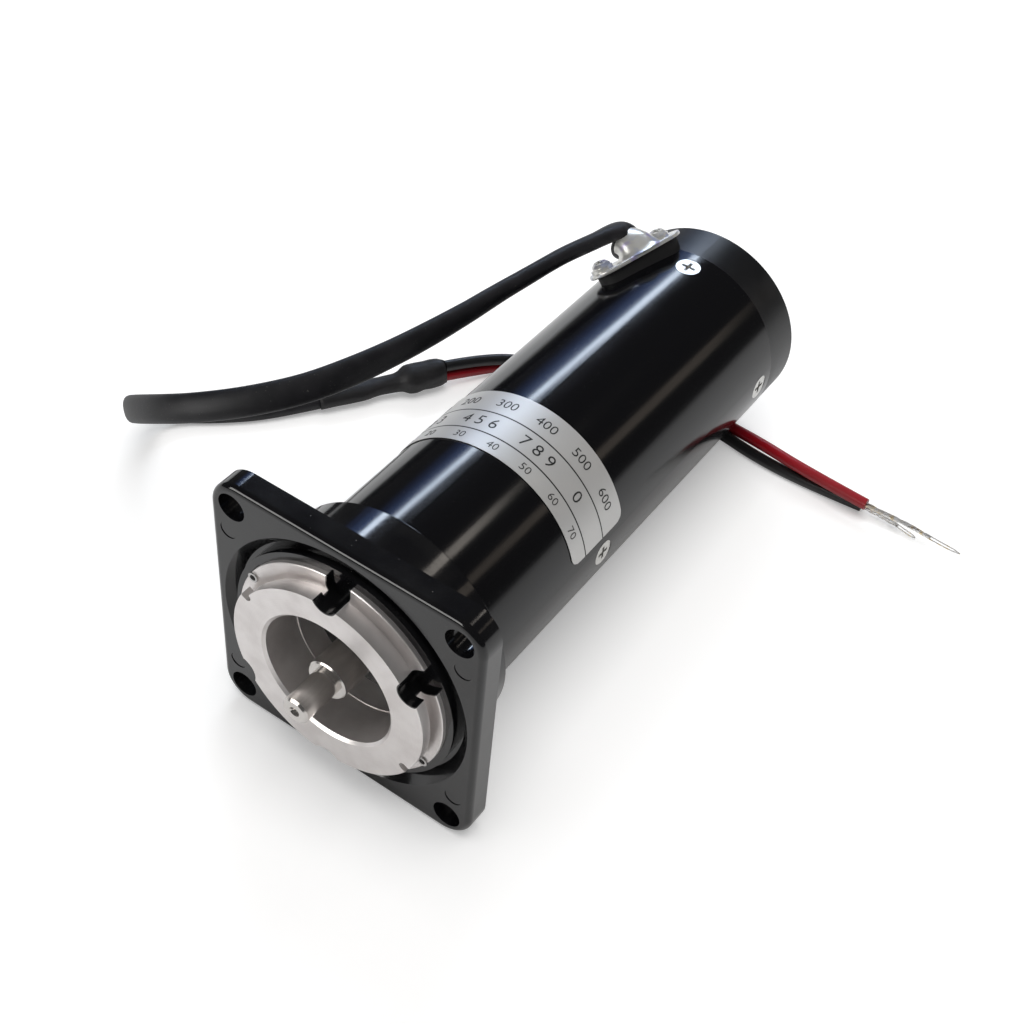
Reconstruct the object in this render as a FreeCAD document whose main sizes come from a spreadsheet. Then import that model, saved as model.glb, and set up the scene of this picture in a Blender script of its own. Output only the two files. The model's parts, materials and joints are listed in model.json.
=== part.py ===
import FreeCAD, Part
import math
import os
import re
import Sketcher
from FreeCAD import Placement, Rotation, Vector

# Brushed direct-current motor lying on a table: square cast flange with a machined
# adapter ring and a skirt, steel tube with the magnets, wound armature on a stepped
# shaft, brush gear, end cap, and a flat two-core cable that leaves a small steel hood.
#
# Every sub-part is drawn in the motor's own frame: the axis is Y, the flange's front
# face is y = 0, the shaft's free end points to -Y and the flange's top edge to +Z.
# The frame is then tipped so that the flange's lower edge stands on z = 0 and the
# tube lies on the two leads that pass under it; the origin is under the middle.

os.makedirs("parts", exist_ok=True)
doc = FreeCAD.newDocument("Motor")

sizes = {
    # flange casting
    "flange_side": "=2 * trench_radius + 5.6", "flange_thickness": 7.3, "flange_corner": 9.0,
    "flange_edge": 1.7, "bolt_spacing": "=flange_side - 14.4", "bolt_hole": 8.4,
    "trench_radius": "=boss_radius + 4.2", "trench_slope": 3.0, "trench_depth": 3.2,
    "boss_radius": "=skirt_radius + 0.3", "skirt_radius": "=tube_radius + 3.8",
    "skirt_end": 23.3, "skirt_chamfer": 0.6, "web_thickness": 4.5, "bearing_boss_wall": 4.5,
    "web_bore_gap": 1.2, "ejector_radius": 2.6, "ejector_depth": 0.2,
    "ejector_along": "=flange_side / 2 - 16.3", "ejector_across": "=flange_side / 2 - 5.6",
    # adapter ring
    "ring_face": 6.7, "ring_bore": "=spigot_radius - 6.9", "ring_bore_step": 0.25,
    "ring_step_at": 6.3, "ring_depth": 13.2, "spigot_radius": "=tube_radius - 3.8",
    "lobe_radius": "=spigot_radius + 3.4", "lip_radius": "=spigot_radius + 1.8",
    "lip_width": 3.3, "neck_radius": "=spigot_radius + 0.9",
    "rim_radius": "=spigot_radius + 5.7", "rim_width": 1.4, "bore_chamfer": 0.8,
    "lobe_sweep": 120.0, "notch_width": 6.9, "notch_floor": "=spigot_radius - 0.4",
    "notch_turn": 60.0, "keyway_width": 2.4, "keyway_floor": "=spigot_radius + 0.6",
    "keyway_angle": 120.0, "scallop_radius": 5.2, "scallop_floor": "=spigot_radius + 1.3",
    "pin_radius": 1.5, "pin_circle": "=spigot_radius + 4.5", "pin_length": 7.4, "pin_wall": 0.6,
    "ring_screw_radius": 1.5, "ring_screw_circle": "=spigot_radius - 3.5",
    "ring_screw_length": 10.0,
    # tube, end cap and their screws
    "tube_radius": 30.9, "tube_wall": 2.5, "tube_front": 12.5,
    "tube_end": "=commutator_at + commutator_length + 17.35",
    "cap_radius": "=tube_radius - 0.1", "cap_length": 14.35, "cap_wall": 5.1,
    "cap_chamfer": 0.6, "cap_spigot_length": 11.4, "cap_spigot_wall": 4.0, "screw_radius": 2.0,
    "head_radius": 3.8, "head_height": 1.9, "recess_length": 4.4, "recess_width": 1.0,
    "recess_depth": 1.5, "rear_screw_at": "=tube_end - 6.75", "rear_screw_count": 4,
    "front_screw_at": 75.0,
    # magnets
    "magnet_start": "=core_start - 5", "magnet_length": "=core_length + 10",
    "magnet_bore": "=core_radius + 0.7", "magnet_sweep": 148.0, "spacer_sweep": 20.0,
    "spacer_bore": "=magnet_bore + 1.8",
    # shaft and bearings
    "tip_radius": 4.0, "tip_end": 18.5, "journal_radius": 6.0, "journal_start": 6.3,
    "shaft_body_radius": 7.0, "tip_chamfer": 0.6, "centre_drill": 0.9,
    "front_bearing_radius": 14.0, "front_bearing_width": 8.0, "front_ball": 2.0,
    "rear_journal_radius": 4.0, "rear_bearing_radius": 11.0, "rear_bearing_width": 7.0,
    "rear_bearing_at": "=tube_end - 0.35", "rear_ball": 1.6,
    # armature
    "core_radius": "=tube_radius - 10", "core_start": 47.0, "core_length": 76.0,
    "slot_count": 12, "slot_floor": 12.0, "slot_height": 6.5, "slot_width": 4.8,
    "slot_mouth": 2.0, "winding_overhang": 9.0, "winding_radius": "=core_radius - 1.5",
    "winding_bore": 8.6, "commutator_radius": 11.0,
    "commutator_at": "=core_start + core_length + 16", "commutator_length": 15.0,
    "riser_radius": 12.6, "riser_width": 2.4, "segment_count": 24, "segment_gap": 0.5,
    "commutator_seat": 5.5,
    # brush gear
    "brush_plate_thickness": 3.2, "brush_plate_bore": 14.5, "brush_width": 6.0,
    "brush_length": 8.0, "brush_height": "=tube_radius - 22.3", "brush_gap": 0.15,
    "box_wall": 0.9, "box_inner_end": 12.6, "spring_wire": 0.3, "spring_radius": 2.2,
    "inner_wire_radius": 0.8, "inner_wire_circle": "=tube_radius - 5.3",
    # cable clamp
    "clamp_angle": -30.0, "clamp_station": "=tube_end - 11.85", "clamp_turn": 23.0,
    "clamp_length": 35.0, "clamp_width": 14.0, "clamp_screw_spacing": 21.4, "pad_height": 3.2,
    "hood_sheet": 1.4, "hood_radius": 7.4, "hood_reach": 5.0, "clamp_screw_radius": 1.6,
    "clamp_head_radius": 2.9, "clamp_head_height": 1.7,
    # label
    "label_start": 59.4, "label_width": 24.4, "label_thickness": 0.12, "label_sweep": 156.0,
    "label_corner": 3.0,
    # cable, sleeve and leads
    "cable_diameter": 7.0, "lead_diameter": 3.8, "strand_diameter": 1.9, "sleeve_radius": 4.0,
    "splice_radius": 5.0, "sleeve_end_radius": 4.4,
    # clearances
    "fit_gap": 0.01, "seat_gap": 0.05, "ball_gap": 0.05, "turn_gap": 0.05, "lead_gap": 0.3,
    "rest_station": "=tube_end + 8.65",
}

sheet = doc.addObject("Spreadsheet::Sheet", "Sizes")
for row, alias in enumerate(sizes, start=1):
    sheet.set(f"A{row}", alias.replace("_", " "))
    sheet.setAlias(f"B{row}", alias)
for row, value in enumerate(sizes.values(), start=1):
    sheet.set(f"B{row}", str(value))
doc.recompute()


class Values:
    """The sheet's values as plain numbers, read by the aliases."""

    def __getattr__(self, alias):
        return float(getattr(sheet, alias))


val = Values()
aliasPattern = re.compile(r"\b(" + "|".join(sorted(sizes, key=len, reverse=True)) + r")\b")


def formula(text):
    """Turn bare aliases in a formula into references to the sheet."""
    return aliasPattern.sub(r"<<Sizes>>.\1", str(text))


def bind(item, **properties):
    for name, text in properties.items():
        item.setExpression(name, formula(text))


# ---------------------------------------------------------------- resting attitude

# The line under the tube is lead_diameter + lead_gap high at rest_station, and the
# flange's rear lower edge is at z = 0.
drop = val.flange_side / 2 - val.tube_radius
run = val.rest_station - val.flange_thickness
tilt = math.acos((val.lead_diameter + val.lead_gap) / math.hypot(drop, run)) - math.atan2(run, drop)
lift = val.flange_thickness * math.sin(tilt) + val.flange_side / 2 * math.cos(tilt)

# the origin is midway between the shaft's tip and the end cap's rear edge
front = -val.tip_end * math.cos(tilt) - (val.tip_radius - val.tip_chamfer) * math.sin(tilt)
rear = ((val.tube_end + val.cap_length) * math.cos(tilt)
        + (val.cap_radius - val.cap_chamfer) * math.sin(tilt))
middle = (front + rear) / 2
motorFrame = Placement(Vector(0, -middle, lift), Rotation(Vector(1, 0, 0), -math.degrees(tilt)))

nodes = []


def keep(item, label, placement=None):
    """Name a finished sub-part, place it and list it for export."""
    item.Label = label
    item.Placement = placement if placement is not None else motorFrame
    nodes.append(item)
    return item


# ---------------------------------------------------------------- drawing helpers


def new_body(name):
    body = doc.addObject("PartDesign::Body", name)
    body.AllowCompound = True
    return body


def origin_item(body, role):
    return next(item for item in body.Origin.OriginFeatures if item.Role == role)


def new_sketch(body, name, plane, shift=None):
    """A sketch on one of the body's own planes; shift moves it along sketch x, y, z."""
    sketch = body.newObject("Sketcher::SketchObject", name)
    sketch.AttachmentSupport = [(origin_item(body, plane), "")]
    sketch.MapMode = "FlatFace"
    for axis, text in zip("xyz", shift or ()):
        if text != 0:
            sketch.setExpression(f"AttachmentOffset.Base.{axis}", formula(text))
    return sketch


def evaluate(text):
    """A formula's present value, as a plain number."""
    value = sheet.evalExpression(formula(text))
    return float(getattr(value, "Value", value))


def place_point(sketch, index, vertex, x, y):
    for kind, text in (("DistanceX", x), ("DistanceY", y)):
        number = sketch.addConstraint(
            Sketcher.Constraint(kind, -1, 1, index, vertex, evaluate(text)))
        sketch.setExpression(f"Constraints[{number}]", formula(text))


def outline(sketch, points):
    """A closed outline of straight lines whose corners are formulas."""
    corners = [Vector(evaluate(x), evaluate(y), 0) for x, y in points]
    first = sketch.GeometryCount
    count = len(points)
    for i in range(count):
        sketch.addGeometry(Part.LineSegment(corners[i], corners[(i + 1) % count]), False)
    for i in range(count):
        sketch.addConstraint(
            Sketcher.Constraint("Coincident", first + i, 2, first + (i + 1) % count, 1))
    for i, (x, y) in enumerate(points):
        place_point(sketch, first + i, 1, x, y)


def circle(sketch, x, y, radius):
    centre = Vector(evaluate(x), evaluate(y), 0)
    index = sketch.addGeometry(Part.Circle(centre, Vector(0, 0, 1), evaluate(radius)), False)
    place_point(sketch, index, 3, x, y)
    number = sketch.addConstraint(Sketcher.Constraint("Radius", index, evaluate(radius)))
    sketch.setExpression(f"Constraints[{number}]", formula(radius))


def rectangle(sketch, left, right, low, high):
    outline(sketch, [(left, low), (right, low), (right, high), (left, high)])


def turn(body, kind, sketch, axis="H_Axis", angle=None):
    """Revolution or Groove of a sketch about one of its own axes."""
    feature = body.newObject("PartDesign::" + kind, kind)
    feature.Profile = sketch
    feature.ReferenceAxis = (sketch, [axis])
    feature.Angle = 360.0
    if angle is not None:
        feature.Midplane = True
        bind(feature, Angle=angle)
    body.Tip = feature
    return feature


def turned(body, name, points, kind="Revolution", angle=None):
    """A piece turned about the motor's axis: points are (station y, radius)."""
    sketch = new_sketch(body, name, "YZ_Plane")
    outline(sketch, points)
    return turn(body, kind, sketch, angle=angle)


def extrude(body, kind, sketch, length, reverse=False):
    feature = body.newObject("PartDesign::" + kind, kind)
    feature.Profile = sketch
    feature.Reversed = reverse
    bind(feature, Length=length)
    body.Tip = feature
    return feature


def around(body, features, count, angle=360.0):
    """Repeat features about the motor's axis."""
    pattern = body.newObject("PartDesign::PolarPattern", "PolarPattern")
    pattern.Originals = features
    pattern.Axis = (origin_item(body, "Y_Axis"), [""])
    pattern.Angle = 360.0
    if angle != 360.0:
        bind(pattern, Angle=angle)
    bind(pattern, Occurrences=count)
    body.Tip = pattern
    return pattern


def edges_where(feature, test):
    names = []
    for index, edge in enumerate(feature.Shape.Edges, start=1):
        if test(edge):
            names.append(f"Edge{index}")
    return names


def dress(body, kind, feature, names, **properties):
    item = body.newObject("PartDesign::" + kind, kind)
    item.Base = (feature, names)
    bind(item, **properties)
    body.Tip = item
    return item


# ---------------------------------------------------------------- flange casting

webBack = "ring_depth + web_thickness + 0.3"
pocketFloor = "ring_depth + web_thickness"
bossEnd = "ring_depth + web_thickness + front_bearing_width + 2.6"


def make_flange():
    body = new_body("Flange")
    plate = new_sketch(body, "PlateOutline", "XZ_Plane")
    half = "flange_side / 2"
    rectangle(plate, f"-{half}", half, f"-{half}", half)
    pad = extrude(body, "Pad", plate, "flange_thickness", reverse=True)
    doc.recompute()
    upright = edges_where(pad, lambda e: abs(e.tangentAt(e.FirstParameter).y) > 0.9)
    corners = dress(body, "Fillet", pad, upright, Radius="flange_corner")
    doc.recompute()
    front = edges_where(corners, lambda e: e.BoundBox.YMax < 0.01)
    dress(body, "Fillet", corners, front, Radius="flange_edge")

    turned(body, "SkirtAndBoss", [
        ("flange_thickness / 2", 0), ("flange_thickness / 2", "skirt_radius"),
        ("skirt_end - skirt_chamfer", "skirt_radius"),
        ("skirt_end", "skirt_radius - skirt_chamfer"),
        ("skirt_end", "front_bearing_radius + bearing_boss_wall"),
        (bossEnd, "front_bearing_radius + bearing_boss_wall"), (bossEnd, 0)])
    turned(body, "RingSeat", [
        (-1, 0), (-1, "spigot_radius + seat_gap"),
        ("ring_depth", "spigot_radius + seat_gap"), ("ring_depth", 0)], "Groove")
    turned(body, "Trench", [
        (-1, "boss_radius"), (-1, "trench_radius"), (0, "trench_radius"),
        ("trench_depth", "trench_radius - trench_slope"), ("trench_depth", "boss_radius")],
        "Groove")
    turned(body, "TubeSeat", [
        ("skirt_end + 1", "front_bearing_radius + bearing_boss_wall"),
        ("skirt_end + 1", "tube_radius + seat_gap"), ("tube_front", "tube_radius + seat_gap"),
        ("tube_front", "tube_radius - tube_wall - 0.5"),
        (webBack, "tube_radius - tube_wall - 0.5"),
        (webBack, "front_bearing_radius + bearing_boss_wall")], "Groove")
    turned(body, "BearingPocket", [
        (pocketFloor, 0), (pocketFloor, "front_bearing_radius + fit_gap"),
        (bossEnd + " + 1", "front_bearing_radius + fit_gap"), (bossEnd + " + 1", 0)], "Groove")
    turned(body, "ShaftPassage", [
        ("ring_depth - 1", 0), ("ring_depth - 1", "journal_radius + web_bore_gap"),
        (pocketFloor + " + 1", "journal_radius + web_bore_gap"), (pocketFloor + " + 1", 0)],
        "Groove")
    turned(body, "ClipGroove", [
        (clipStart, "front_bearing_radius - 1"), (clipStart, "front_bearing_radius + 0.9"),
        (clipEnd, "front_bearing_radius + 0.9"), (clipEnd, "front_bearing_radius - 1")],
        "Groove")

    hole = new_sketch(body, "BoltHole", "XZ_Plane", (0, 0, 1))
    circle(hole, "bolt_spacing / 2", "bolt_spacing / 2", "bolt_hole / 2")
    drilled = extrude(body, "Pocket", hole, "flange_thickness + 2")
    around(body, [drilled], "4")

    ejector = new_sketch(body, "EjectorMarks", "XZ_Plane", (0, 0, 1))
    for across, along in ((1, 1), (-1, 1), (1, -1), (-1, -1)):
        circle(ejector, f"{across} * ejector_across", f"{along} * ejector_along",
               "ejector_radius")
    extrude(body, "Pocket", ejector, "1 + ejector_depth")

    pin = new_sketch(body, "PinHole", "XZ_Plane", (0, 0, 2))
    circle(pin, "pin_circle * sin(keyway_angle)", "pin_circle * cos(keyway_angle)",
           "pin_radius + fit_gap")
    pinHole = extrude(body, "Pocket", pin, "pin_length + 1")
    around(body, [pinHole], "2")

    screw = new_sketch(body, "RingScrewHole", "XZ_Plane", (0, 0, "2 - ring_depth"))
    circle(screw, 0, "ring_screw_circle", "ring_screw_radius + fit_gap")
    screwHole = extrude(body, "Pocket", screw, "web_thickness + 4")
    around(body, [screwHole], "3")
    return keep(body, "mounting_flange")


clipStart = "ring_depth + web_thickness + front_bearing_width + seat_gap"
clipEnd = clipStart + " + 1.2"


# ---------------------------------------------------------------- adapter ring


def make_adapter_ring():
    body = new_body("AdapterRing")
    turned(body, "RingProfile", [
        ("-ring_face", "ring_bore + bore_chamfer"), ("-ring_face", "lobe_radius - 0.3"),
        ("0.3 - ring_face", "lobe_radius"), ("lip_width - ring_face", "lobe_radius"),
        ("lip_width - ring_face", "neck_radius"), ("-rim_width", "neck_radius"),
        ("-rim_width", "rim_radius - 0.2"), ("0.2 - rim_width", "rim_radius"),
        (0, "rim_radius"), (0, "spigot_radius"), ("ring_depth", "spigot_radius"),
        ("ring_depth", "ring_bore - ring_bore_step"),
        ("ring_step_at", "ring_bore - ring_bore_step"), ("ring_step_at", "ring_bore"),
        ("bore_chamfer - ring_face", "ring_bore")])
    # the lip is full radius over the lobes and smaller across the top sector
    turned(body, "LowLip", [
        ("-ring_face - 1", "lip_radius"), ("lip_width - ring_face", "lip_radius"),
        ("lip_width - ring_face", "lobe_radius + 1"), ("-ring_face - 1", "lobe_radius + 1")],
        "Groove", angle="lobe_sweep")

    # two wide notches through the lip and the rim
    front = (0, 0, "ring_face + 1")
    notchEnd = new_sketch(body, "NotchEnd", "XZ_Plane", front)
    circle(notchEnd, 0, "notch_floor + notch_width / 2", "notch_width / 2")
    endCut = extrude(body, "Pocket", notchEnd, "ring_face + 1")
    notchSides = new_sketch(body, "NotchSides", "XZ_Plane", front)
    rectangle(notchSides, "-notch_width / 2", "notch_width / 2",
              "notch_floor + notch_width / 2", "rim_radius + 2")
    sideCut = extrude(body, "Pocket", notchSides, "ring_face + 1")
    around(body, [endCut, sideCut], "2", angle="notch_turn")

    # two narrow keyways in the lip, each in front of a pin
    keyEnd = new_sketch(body, "KeywayEnd", "XZ_Plane", front)
    reach = "(keyway_floor + keyway_width / 2)"
    circle(keyEnd, f"{reach} * sin(keyway_angle)", f"{reach} * cos(keyway_angle)",
           "keyway_width / 2")
    keyEndCut = extrude(body, "Pocket", keyEnd, "lip_width + 1")
    keySides = new_sketch(body, "KeywaySides", "XZ_Plane", front)
    outline(keySides, [
        (f"{r} * sin(keyway_angle) + {s} * keyway_width / 2 * cos(keyway_angle)",
         f"{r} * cos(keyway_angle) - {s} * keyway_width / 2 * sin(keyway_angle)")
        for r, s in ((reach, -1), (reach, 1), ("(lobe_radius + 2)", 1), ("(lobe_radius + 2)", -1))])
    keySideCut = extrude(body, "Pocket", keySides, "lip_width + 1")
    around(body, [keyEndCut, keySideCut], "2")

    # two shallow finger scallops in the lip
    scallop = new_sketch(body, "Scallop", "XZ_Plane", front)
    circle(scallop, 0, "-scallop_floor - scallop_radius", "scallop_radius")
    scallopCut = extrude(body, "Pocket", scallop, "lip_width + 1")
    around(body, [scallopCut], "2", angle="notch_turn")

    pin = new_sketch(body, "PinHole", "XZ_Plane", (0, 0, "rim_width + 1"))
    circle(pin, "pin_circle * sin(keyway_angle)", "pin_circle * cos(keyway_angle)",
           "pin_radius + fit_gap")
    pinHole = extrude(body, "Pocket", pin, "rim_width + 2")
    around(body, [pinHole], "2")

    tapped = new_sketch(body, "TappedHole", "XZ_Plane", (0, 0, "-ring_depth - 1"))
    circle(tapped, 0, "ring_screw_circle", "ring_screw_radius + fit_gap")
    tappedHole = extrude(body, "Pocket", tapped,
                         "ring_screw_length - web_thickness + 2", reverse=True)
    around(body, [tappedHole], "3")
    return keep(body, "adapter_ring")


def make_ring_pins():
    body = new_body("RingPins")
    sketch = new_sketch(body, "PinSection", "XZ_Plane", (0, 0, "rim_width + 0.4"))
    x, y = "pin_circle * sin(keyway_angle)", "pin_circle * cos(keyway_angle)"
    circle(sketch, x, y, "pin_radius")
    circle(sketch, x, y, "pin_radius - pin_wall")
    pin = extrude(body, "Pad", sketch, "pin_length", reverse=True)
    around(body, [pin], "2")
    return keep(body, "ring_pins")


def make_ring_screws():
    body = new_body("RingScrews")
    shank = new_sketch(body, "Shank", "XZ_Plane", (0, 0, f"-({webBack})"))
    circle(shank, 0, "ring_screw_circle", "ring_screw_radius")
    shankPad = extrude(body, "Pad", shank, "ring_screw_length")
    head = new_sketch(body, "Head", "XZ_Plane", (0, 0, f"-({webBack})"))
    circle(head, 0, "ring_screw_circle", "1.8 * ring_screw_radius")
    headPad = extrude(body, "Pad", head, "ring_screw_radius * 1.6", reverse=True)
    socket = new_sketch(body, "Socket", "XZ_Plane",
                        (0, 0, f"-({webBack}) - ring_screw_radius * 1.6"))
    circle(socket, 0, "ring_screw_circle", "0.8 * ring_screw_radius")
    socketCut = extrude(body, "Pocket", socket, "ring_screw_radius", reverse=True)
    around(body, [shankPad, headPad, socketCut], "3")
    return keep(body, "ring_screws")


# ---------------------------------------------------------------- tube, cap, tube screws

# radial features face up (Z) or to the side (X) before they are repeated round the axis


def turned_about_radius(body, name, station, points, facing, kind="Revolution"):
    """Points are (radius from the radial line, height above the motor's axis)."""
    if facing == "Z":
        sketch = new_sketch(body, name, "YZ_Plane", (station, 0, 0))
        outline(sketch, points)
        return turn(body, kind, sketch, axis="V_Axis")
    sketch = new_sketch(body, name, "XY_Plane", (0, station, 0))
    outline(sketch, [(height, radius) for radius, height in points])
    return turn(body, kind, sketch, axis="H_Axis")


def screw_hole(body, station, facing, gap, low, countersunk):
    radius = f"screw_radius + {gap}"
    points = [(0, low), (radius, low)]
    if countersunk:
        points += [(radius, "tube_radius - head_height"),
                   (f"head_radius + {gap}", "tube_radius - 0.1"),
                   (f"head_radius + {gap}", "tube_radius + 2"), (0, "tube_radius + 2")]
    else:
        points += [(radius, "tube_radius + 2"), (0, "tube_radius + 2")]
    return turned_about_radius(body, "ScrewHole", station, points, facing, "Groove")


def make_tube_screws(name, label, station, facing, low, count):
    body = new_body(name)
    top = "tube_radius - 0.15"
    shape = turned_about_radius(body, "ScrewProfile", station, [
        (0, low), ("screw_radius - 0.4", low), ("screw_radius", f"{low} + 0.4"),
        ("screw_radius", "tube_radius - head_height"), ("head_radius", top), (0, top)], facing)
    if facing == "Z":
        cross = new_sketch(body, "Recess", "XY_Plane", (0, station, top))
    else:
        cross = new_sketch(body, "Recess", "YZ_Plane", (station, 0, top))
    a, b = "recess_length / 2", "recess_width / 2"
    outline(cross, [(b, b), (b, a), (f"-{b}", a), (f"-{b}", b), (f"-{a}", b), (f"-{a}", f"-{b}"),
                    (f"-{b}", f"-{b}"), (f"-{b}", f"-{a}"), (b, f"-{a}"), (b, f"-{b}"),
                    (a, f"-{b}"), (a, b)])
    recess = extrude(body, "Pocket", cross, "recess_depth")
    around(body, [shape, recess], count)
    return keep(body, label)


def radial_frame(angle, station):
    """A frame on the motor's axis whose Z points out at an angle from the top."""
    return Placement(Vector(0, station, 0), Rotation(Vector(0, 1, 0), angle))


clampFrame = radial_frame(val.clamp_angle, val.clamp_station).multiply(
    Placement(Vector(0, 0, 0), Rotation(Vector(0, 0, 1), -val.clamp_turn)))


def bore_at(body, kind, frame, radius, low, height, shift=Vector(0, 0, 0)):
    """A cylinder along a frame's Z, from a height above the motor's axis."""
    item = body.newObject("PartDesign::" + kind, kind)
    bind(item, Radius=radius, Height=height)
    item.Placement = frame.multiply(Placement(shift + Vector(0, 0, evaluate(low)), Rotation()))
    body.Tip = item
    return item


def clamp_screw_places():
    return [Vector(0, side * val.clamp_screw_spacing / 2, 0) for side in (-1, 1)]


def make_tube():
    body = new_body("Tube")
    turned(body, "TubeWall", [
        ("tube_front", "tube_radius - tube_wall"), ("tube_front", "tube_radius"),
        ("tube_end", "tube_radius"), ("tube_end", "tube_radius - tube_wall")])
    low = "tube_radius - tube_wall - 2"
    rear = screw_hole(body, "rear_screw_at", "Z", "seat_gap", low, True)
    around(body, [rear], "rear_screw_count")
    front = screw_hole(body, "front_screw_at", "X", "seat_gap", low, True)
    around(body, [front], "2")
    bore_at(body, "SubtractiveCylinder", clampFrame, "cable_diameter / 2 + 0.3", low, "10")
    for place in clamp_screw_places():
        bore_at(body, "SubtractiveCylinder", clampFrame, "clamp_screw_radius + fit_gap",
                low, "10", place)
    return keep(body, "motor_tube")


spigotStart = "tube_end - cap_spigot_length"
spigotRadius = "tube_radius - tube_wall - seat_gap"


def make_end_cap():
    body = new_body("EndCap")
    end = "tube_end + cap_length"
    inner = "tube_radius - tube_wall - cap_spigot_wall"
    turned(body, "CapProfile", [
        (spigotStart, inner), (spigotStart, spigotRadius), ("tube_end", spigotRadius),
        ("tube_end", "cap_radius"), (f"{end} - cap_chamfer", "cap_radius"),
        (end, "cap_radius - cap_chamfer"), (end, 0),
        (f"{end} - cap_wall", 0), (f"{end} - cap_wall", inner)])
    turned(body, "BearingBoss", [
        ("rear_bearing_at", 0), ("rear_bearing_at", "rear_bearing_radius + 3"),
        (f"{end} - cap_wall / 2", "rear_bearing_radius + 3"), (f"{end} - cap_wall / 2", 0)])
    turned(body, "BearingPocket", [
        ("rear_bearing_at - 1", 0), ("rear_bearing_at - 1", "rear_bearing_radius + fit_gap"),
        ("rear_bearing_at + rear_bearing_width + 0.6", "rear_bearing_radius + fit_gap"),
        ("rear_bearing_at + rear_bearing_width + 0.6", "rear_bearing_radius - 3"),
        ("rear_bearing_at + rear_bearing_width + 2.4", "rear_bearing_radius - 3"),
        ("rear_bearing_at + rear_bearing_width + 2.4", 0)], "Groove")
    hole = screw_hole(body, "rear_screw_at", "Z", "fit_gap", f"{inner} - 2", False)
    around(body, [hole], "rear_screw_count")
    bore_at(body, "SubtractiveCylinder", clampFrame, "cable_diameter / 2 + 0.8", f"{inner} - 3",
            "8")
    return keep(body, "end_cap")


# ---------------------------------------------------------------- magnets


def make_magnets():
    body = new_body("Magnets")
    first = turned(body, "MagnetArc", [
        ("magnet_start", "magnet_bore"), ("magnet_start", spigotRadius),
        ("magnet_start + magnet_length", spigotRadius),
        ("magnet_start + magnet_length", "magnet_bore")], angle="magnet_sweep")
    around(body, [first], "2")
    return keep(body, "field_magnets")


def make_spacers():
    body = new_body("Spacers")
    sketch = new_sketch(body, "SpacerSection", "XY_Plane")
    rectangle(sketch, "spacer_bore", spigotRadius, "magnet_start",
              "magnet_start + magnet_length")
    first = turn(body, "Revolution", sketch, axis="V_Axis", angle="spacer_sweep")
    around(body, [first], "2")
    hole = screw_hole(body, "front_screw_at", "X", "fit_gap", "spacer_bore - 2", False)
    around(body, [hole], "2")
    return keep(body, "magnet_spacers")


# ---------------------------------------------------------------- bearings


def make_race(name, label, start, width, inner, outer, middle, ball, isOuter):
    """One race of a ball bearing, with its groove."""
    body = new_body(name)
    groove = f"({middle}) + {ball} * 0.55" if isOuter else f"({middle}) - {ball} * 0.55"
    low, high = (groove, outer) if isOuter else (inner, groove)
    turned(body, "Race", [(start, low), (start, high), (f"{start} + {width}", high),
                          (f"{start} + {width}", low)])
    track = body.newObject("PartDesign::SubtractiveTorus", "Track")
    bind(track, Radius1=middle, Radius2=f"{ball} + ball_gap")
    track.Placement = Placement(Vector(0, evaluate(f"{start} + {width} / 2"), 0),
                                Rotation(Vector(1, 0, 0), 90))
    body.Tip = track
    return keep(body, label)


def make_balls(name, label, start, width, middle, ball, count):
    body = new_body(name)
    first = body.newObject("PartDesign::AdditiveSphere", "Ball")
    bind(first, Radius=ball)
    first.Placement = Placement(Vector(0, evaluate(f"{start} + {width} / 2"), evaluate(middle)),
                                Rotation())
    body.Tip = first
    around(body, [first], count)
    return keep(body, label)


def make_bearings():
    middle = "(front_bearing_radius + journal_radius) / 2"
    args = (pocketFloor, "front_bearing_width")
    make_race("FrontOuterRace", "front_bearing_outer_race", *args, "journal_radius",
              "front_bearing_radius", middle, "front_ball", True)
    make_race("FrontInnerRace", "front_bearing_inner_race", *args, "journal_radius + fit_gap",
              "front_bearing_radius", middle, "front_ball", False)
    make_balls("FrontBalls", "front_bearing_balls", *args, middle, "front_ball", "9")
    middle = "(rear_bearing_radius + rear_journal_radius) / 2"
    args = ("rear_bearing_at", "rear_bearing_width")
    make_race("RearOuterRace", "rear_bearing_outer_race", *args, "rear_journal_radius",
              "rear_bearing_radius", middle, "rear_ball", True)
    make_race("RearInnerRace", "rear_bearing_inner_race", *args, "rear_journal_radius + fit_gap",
              "rear_bearing_radius", middle, "rear_ball", False)
    make_balls("RearBalls", "rear_bearing_balls", *args, middle, "rear_ball", "8")

    clip = new_body("BearingClip")
    turned(clip, "ClipSection", [
        (clipStart + " + 0.05", "front_bearing_radius - 1.4"),
        (clipStart + " + 0.05", "front_bearing_radius + 0.8"),
        (clipEnd + " - 0.05", "front_bearing_radius + 0.8"),
        (clipEnd + " - 0.05", "front_bearing_radius - 1.4")], angle="325")
    keep(clip, "bearing_clip")

    washer = new_body("PreloadWasher")
    start = "rear_bearing_at + rear_bearing_width"
    turned(washer, "WasherSection", [
        (f"{start} + 0.05", "rear_bearing_radius - 2.6"),
        (f"{start} + 0.05", "rear_bearing_radius - 0.3"),
        (f"{start} + 0.55", "rear_bearing_radius - 0.3"),
        (f"{start} + 0.55", "rear_bearing_radius - 2.6")])
    keep(washer, "preload_washer")


# ---------------------------------------------------------------- armature

coreEnd = "core_start + core_length"


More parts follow.
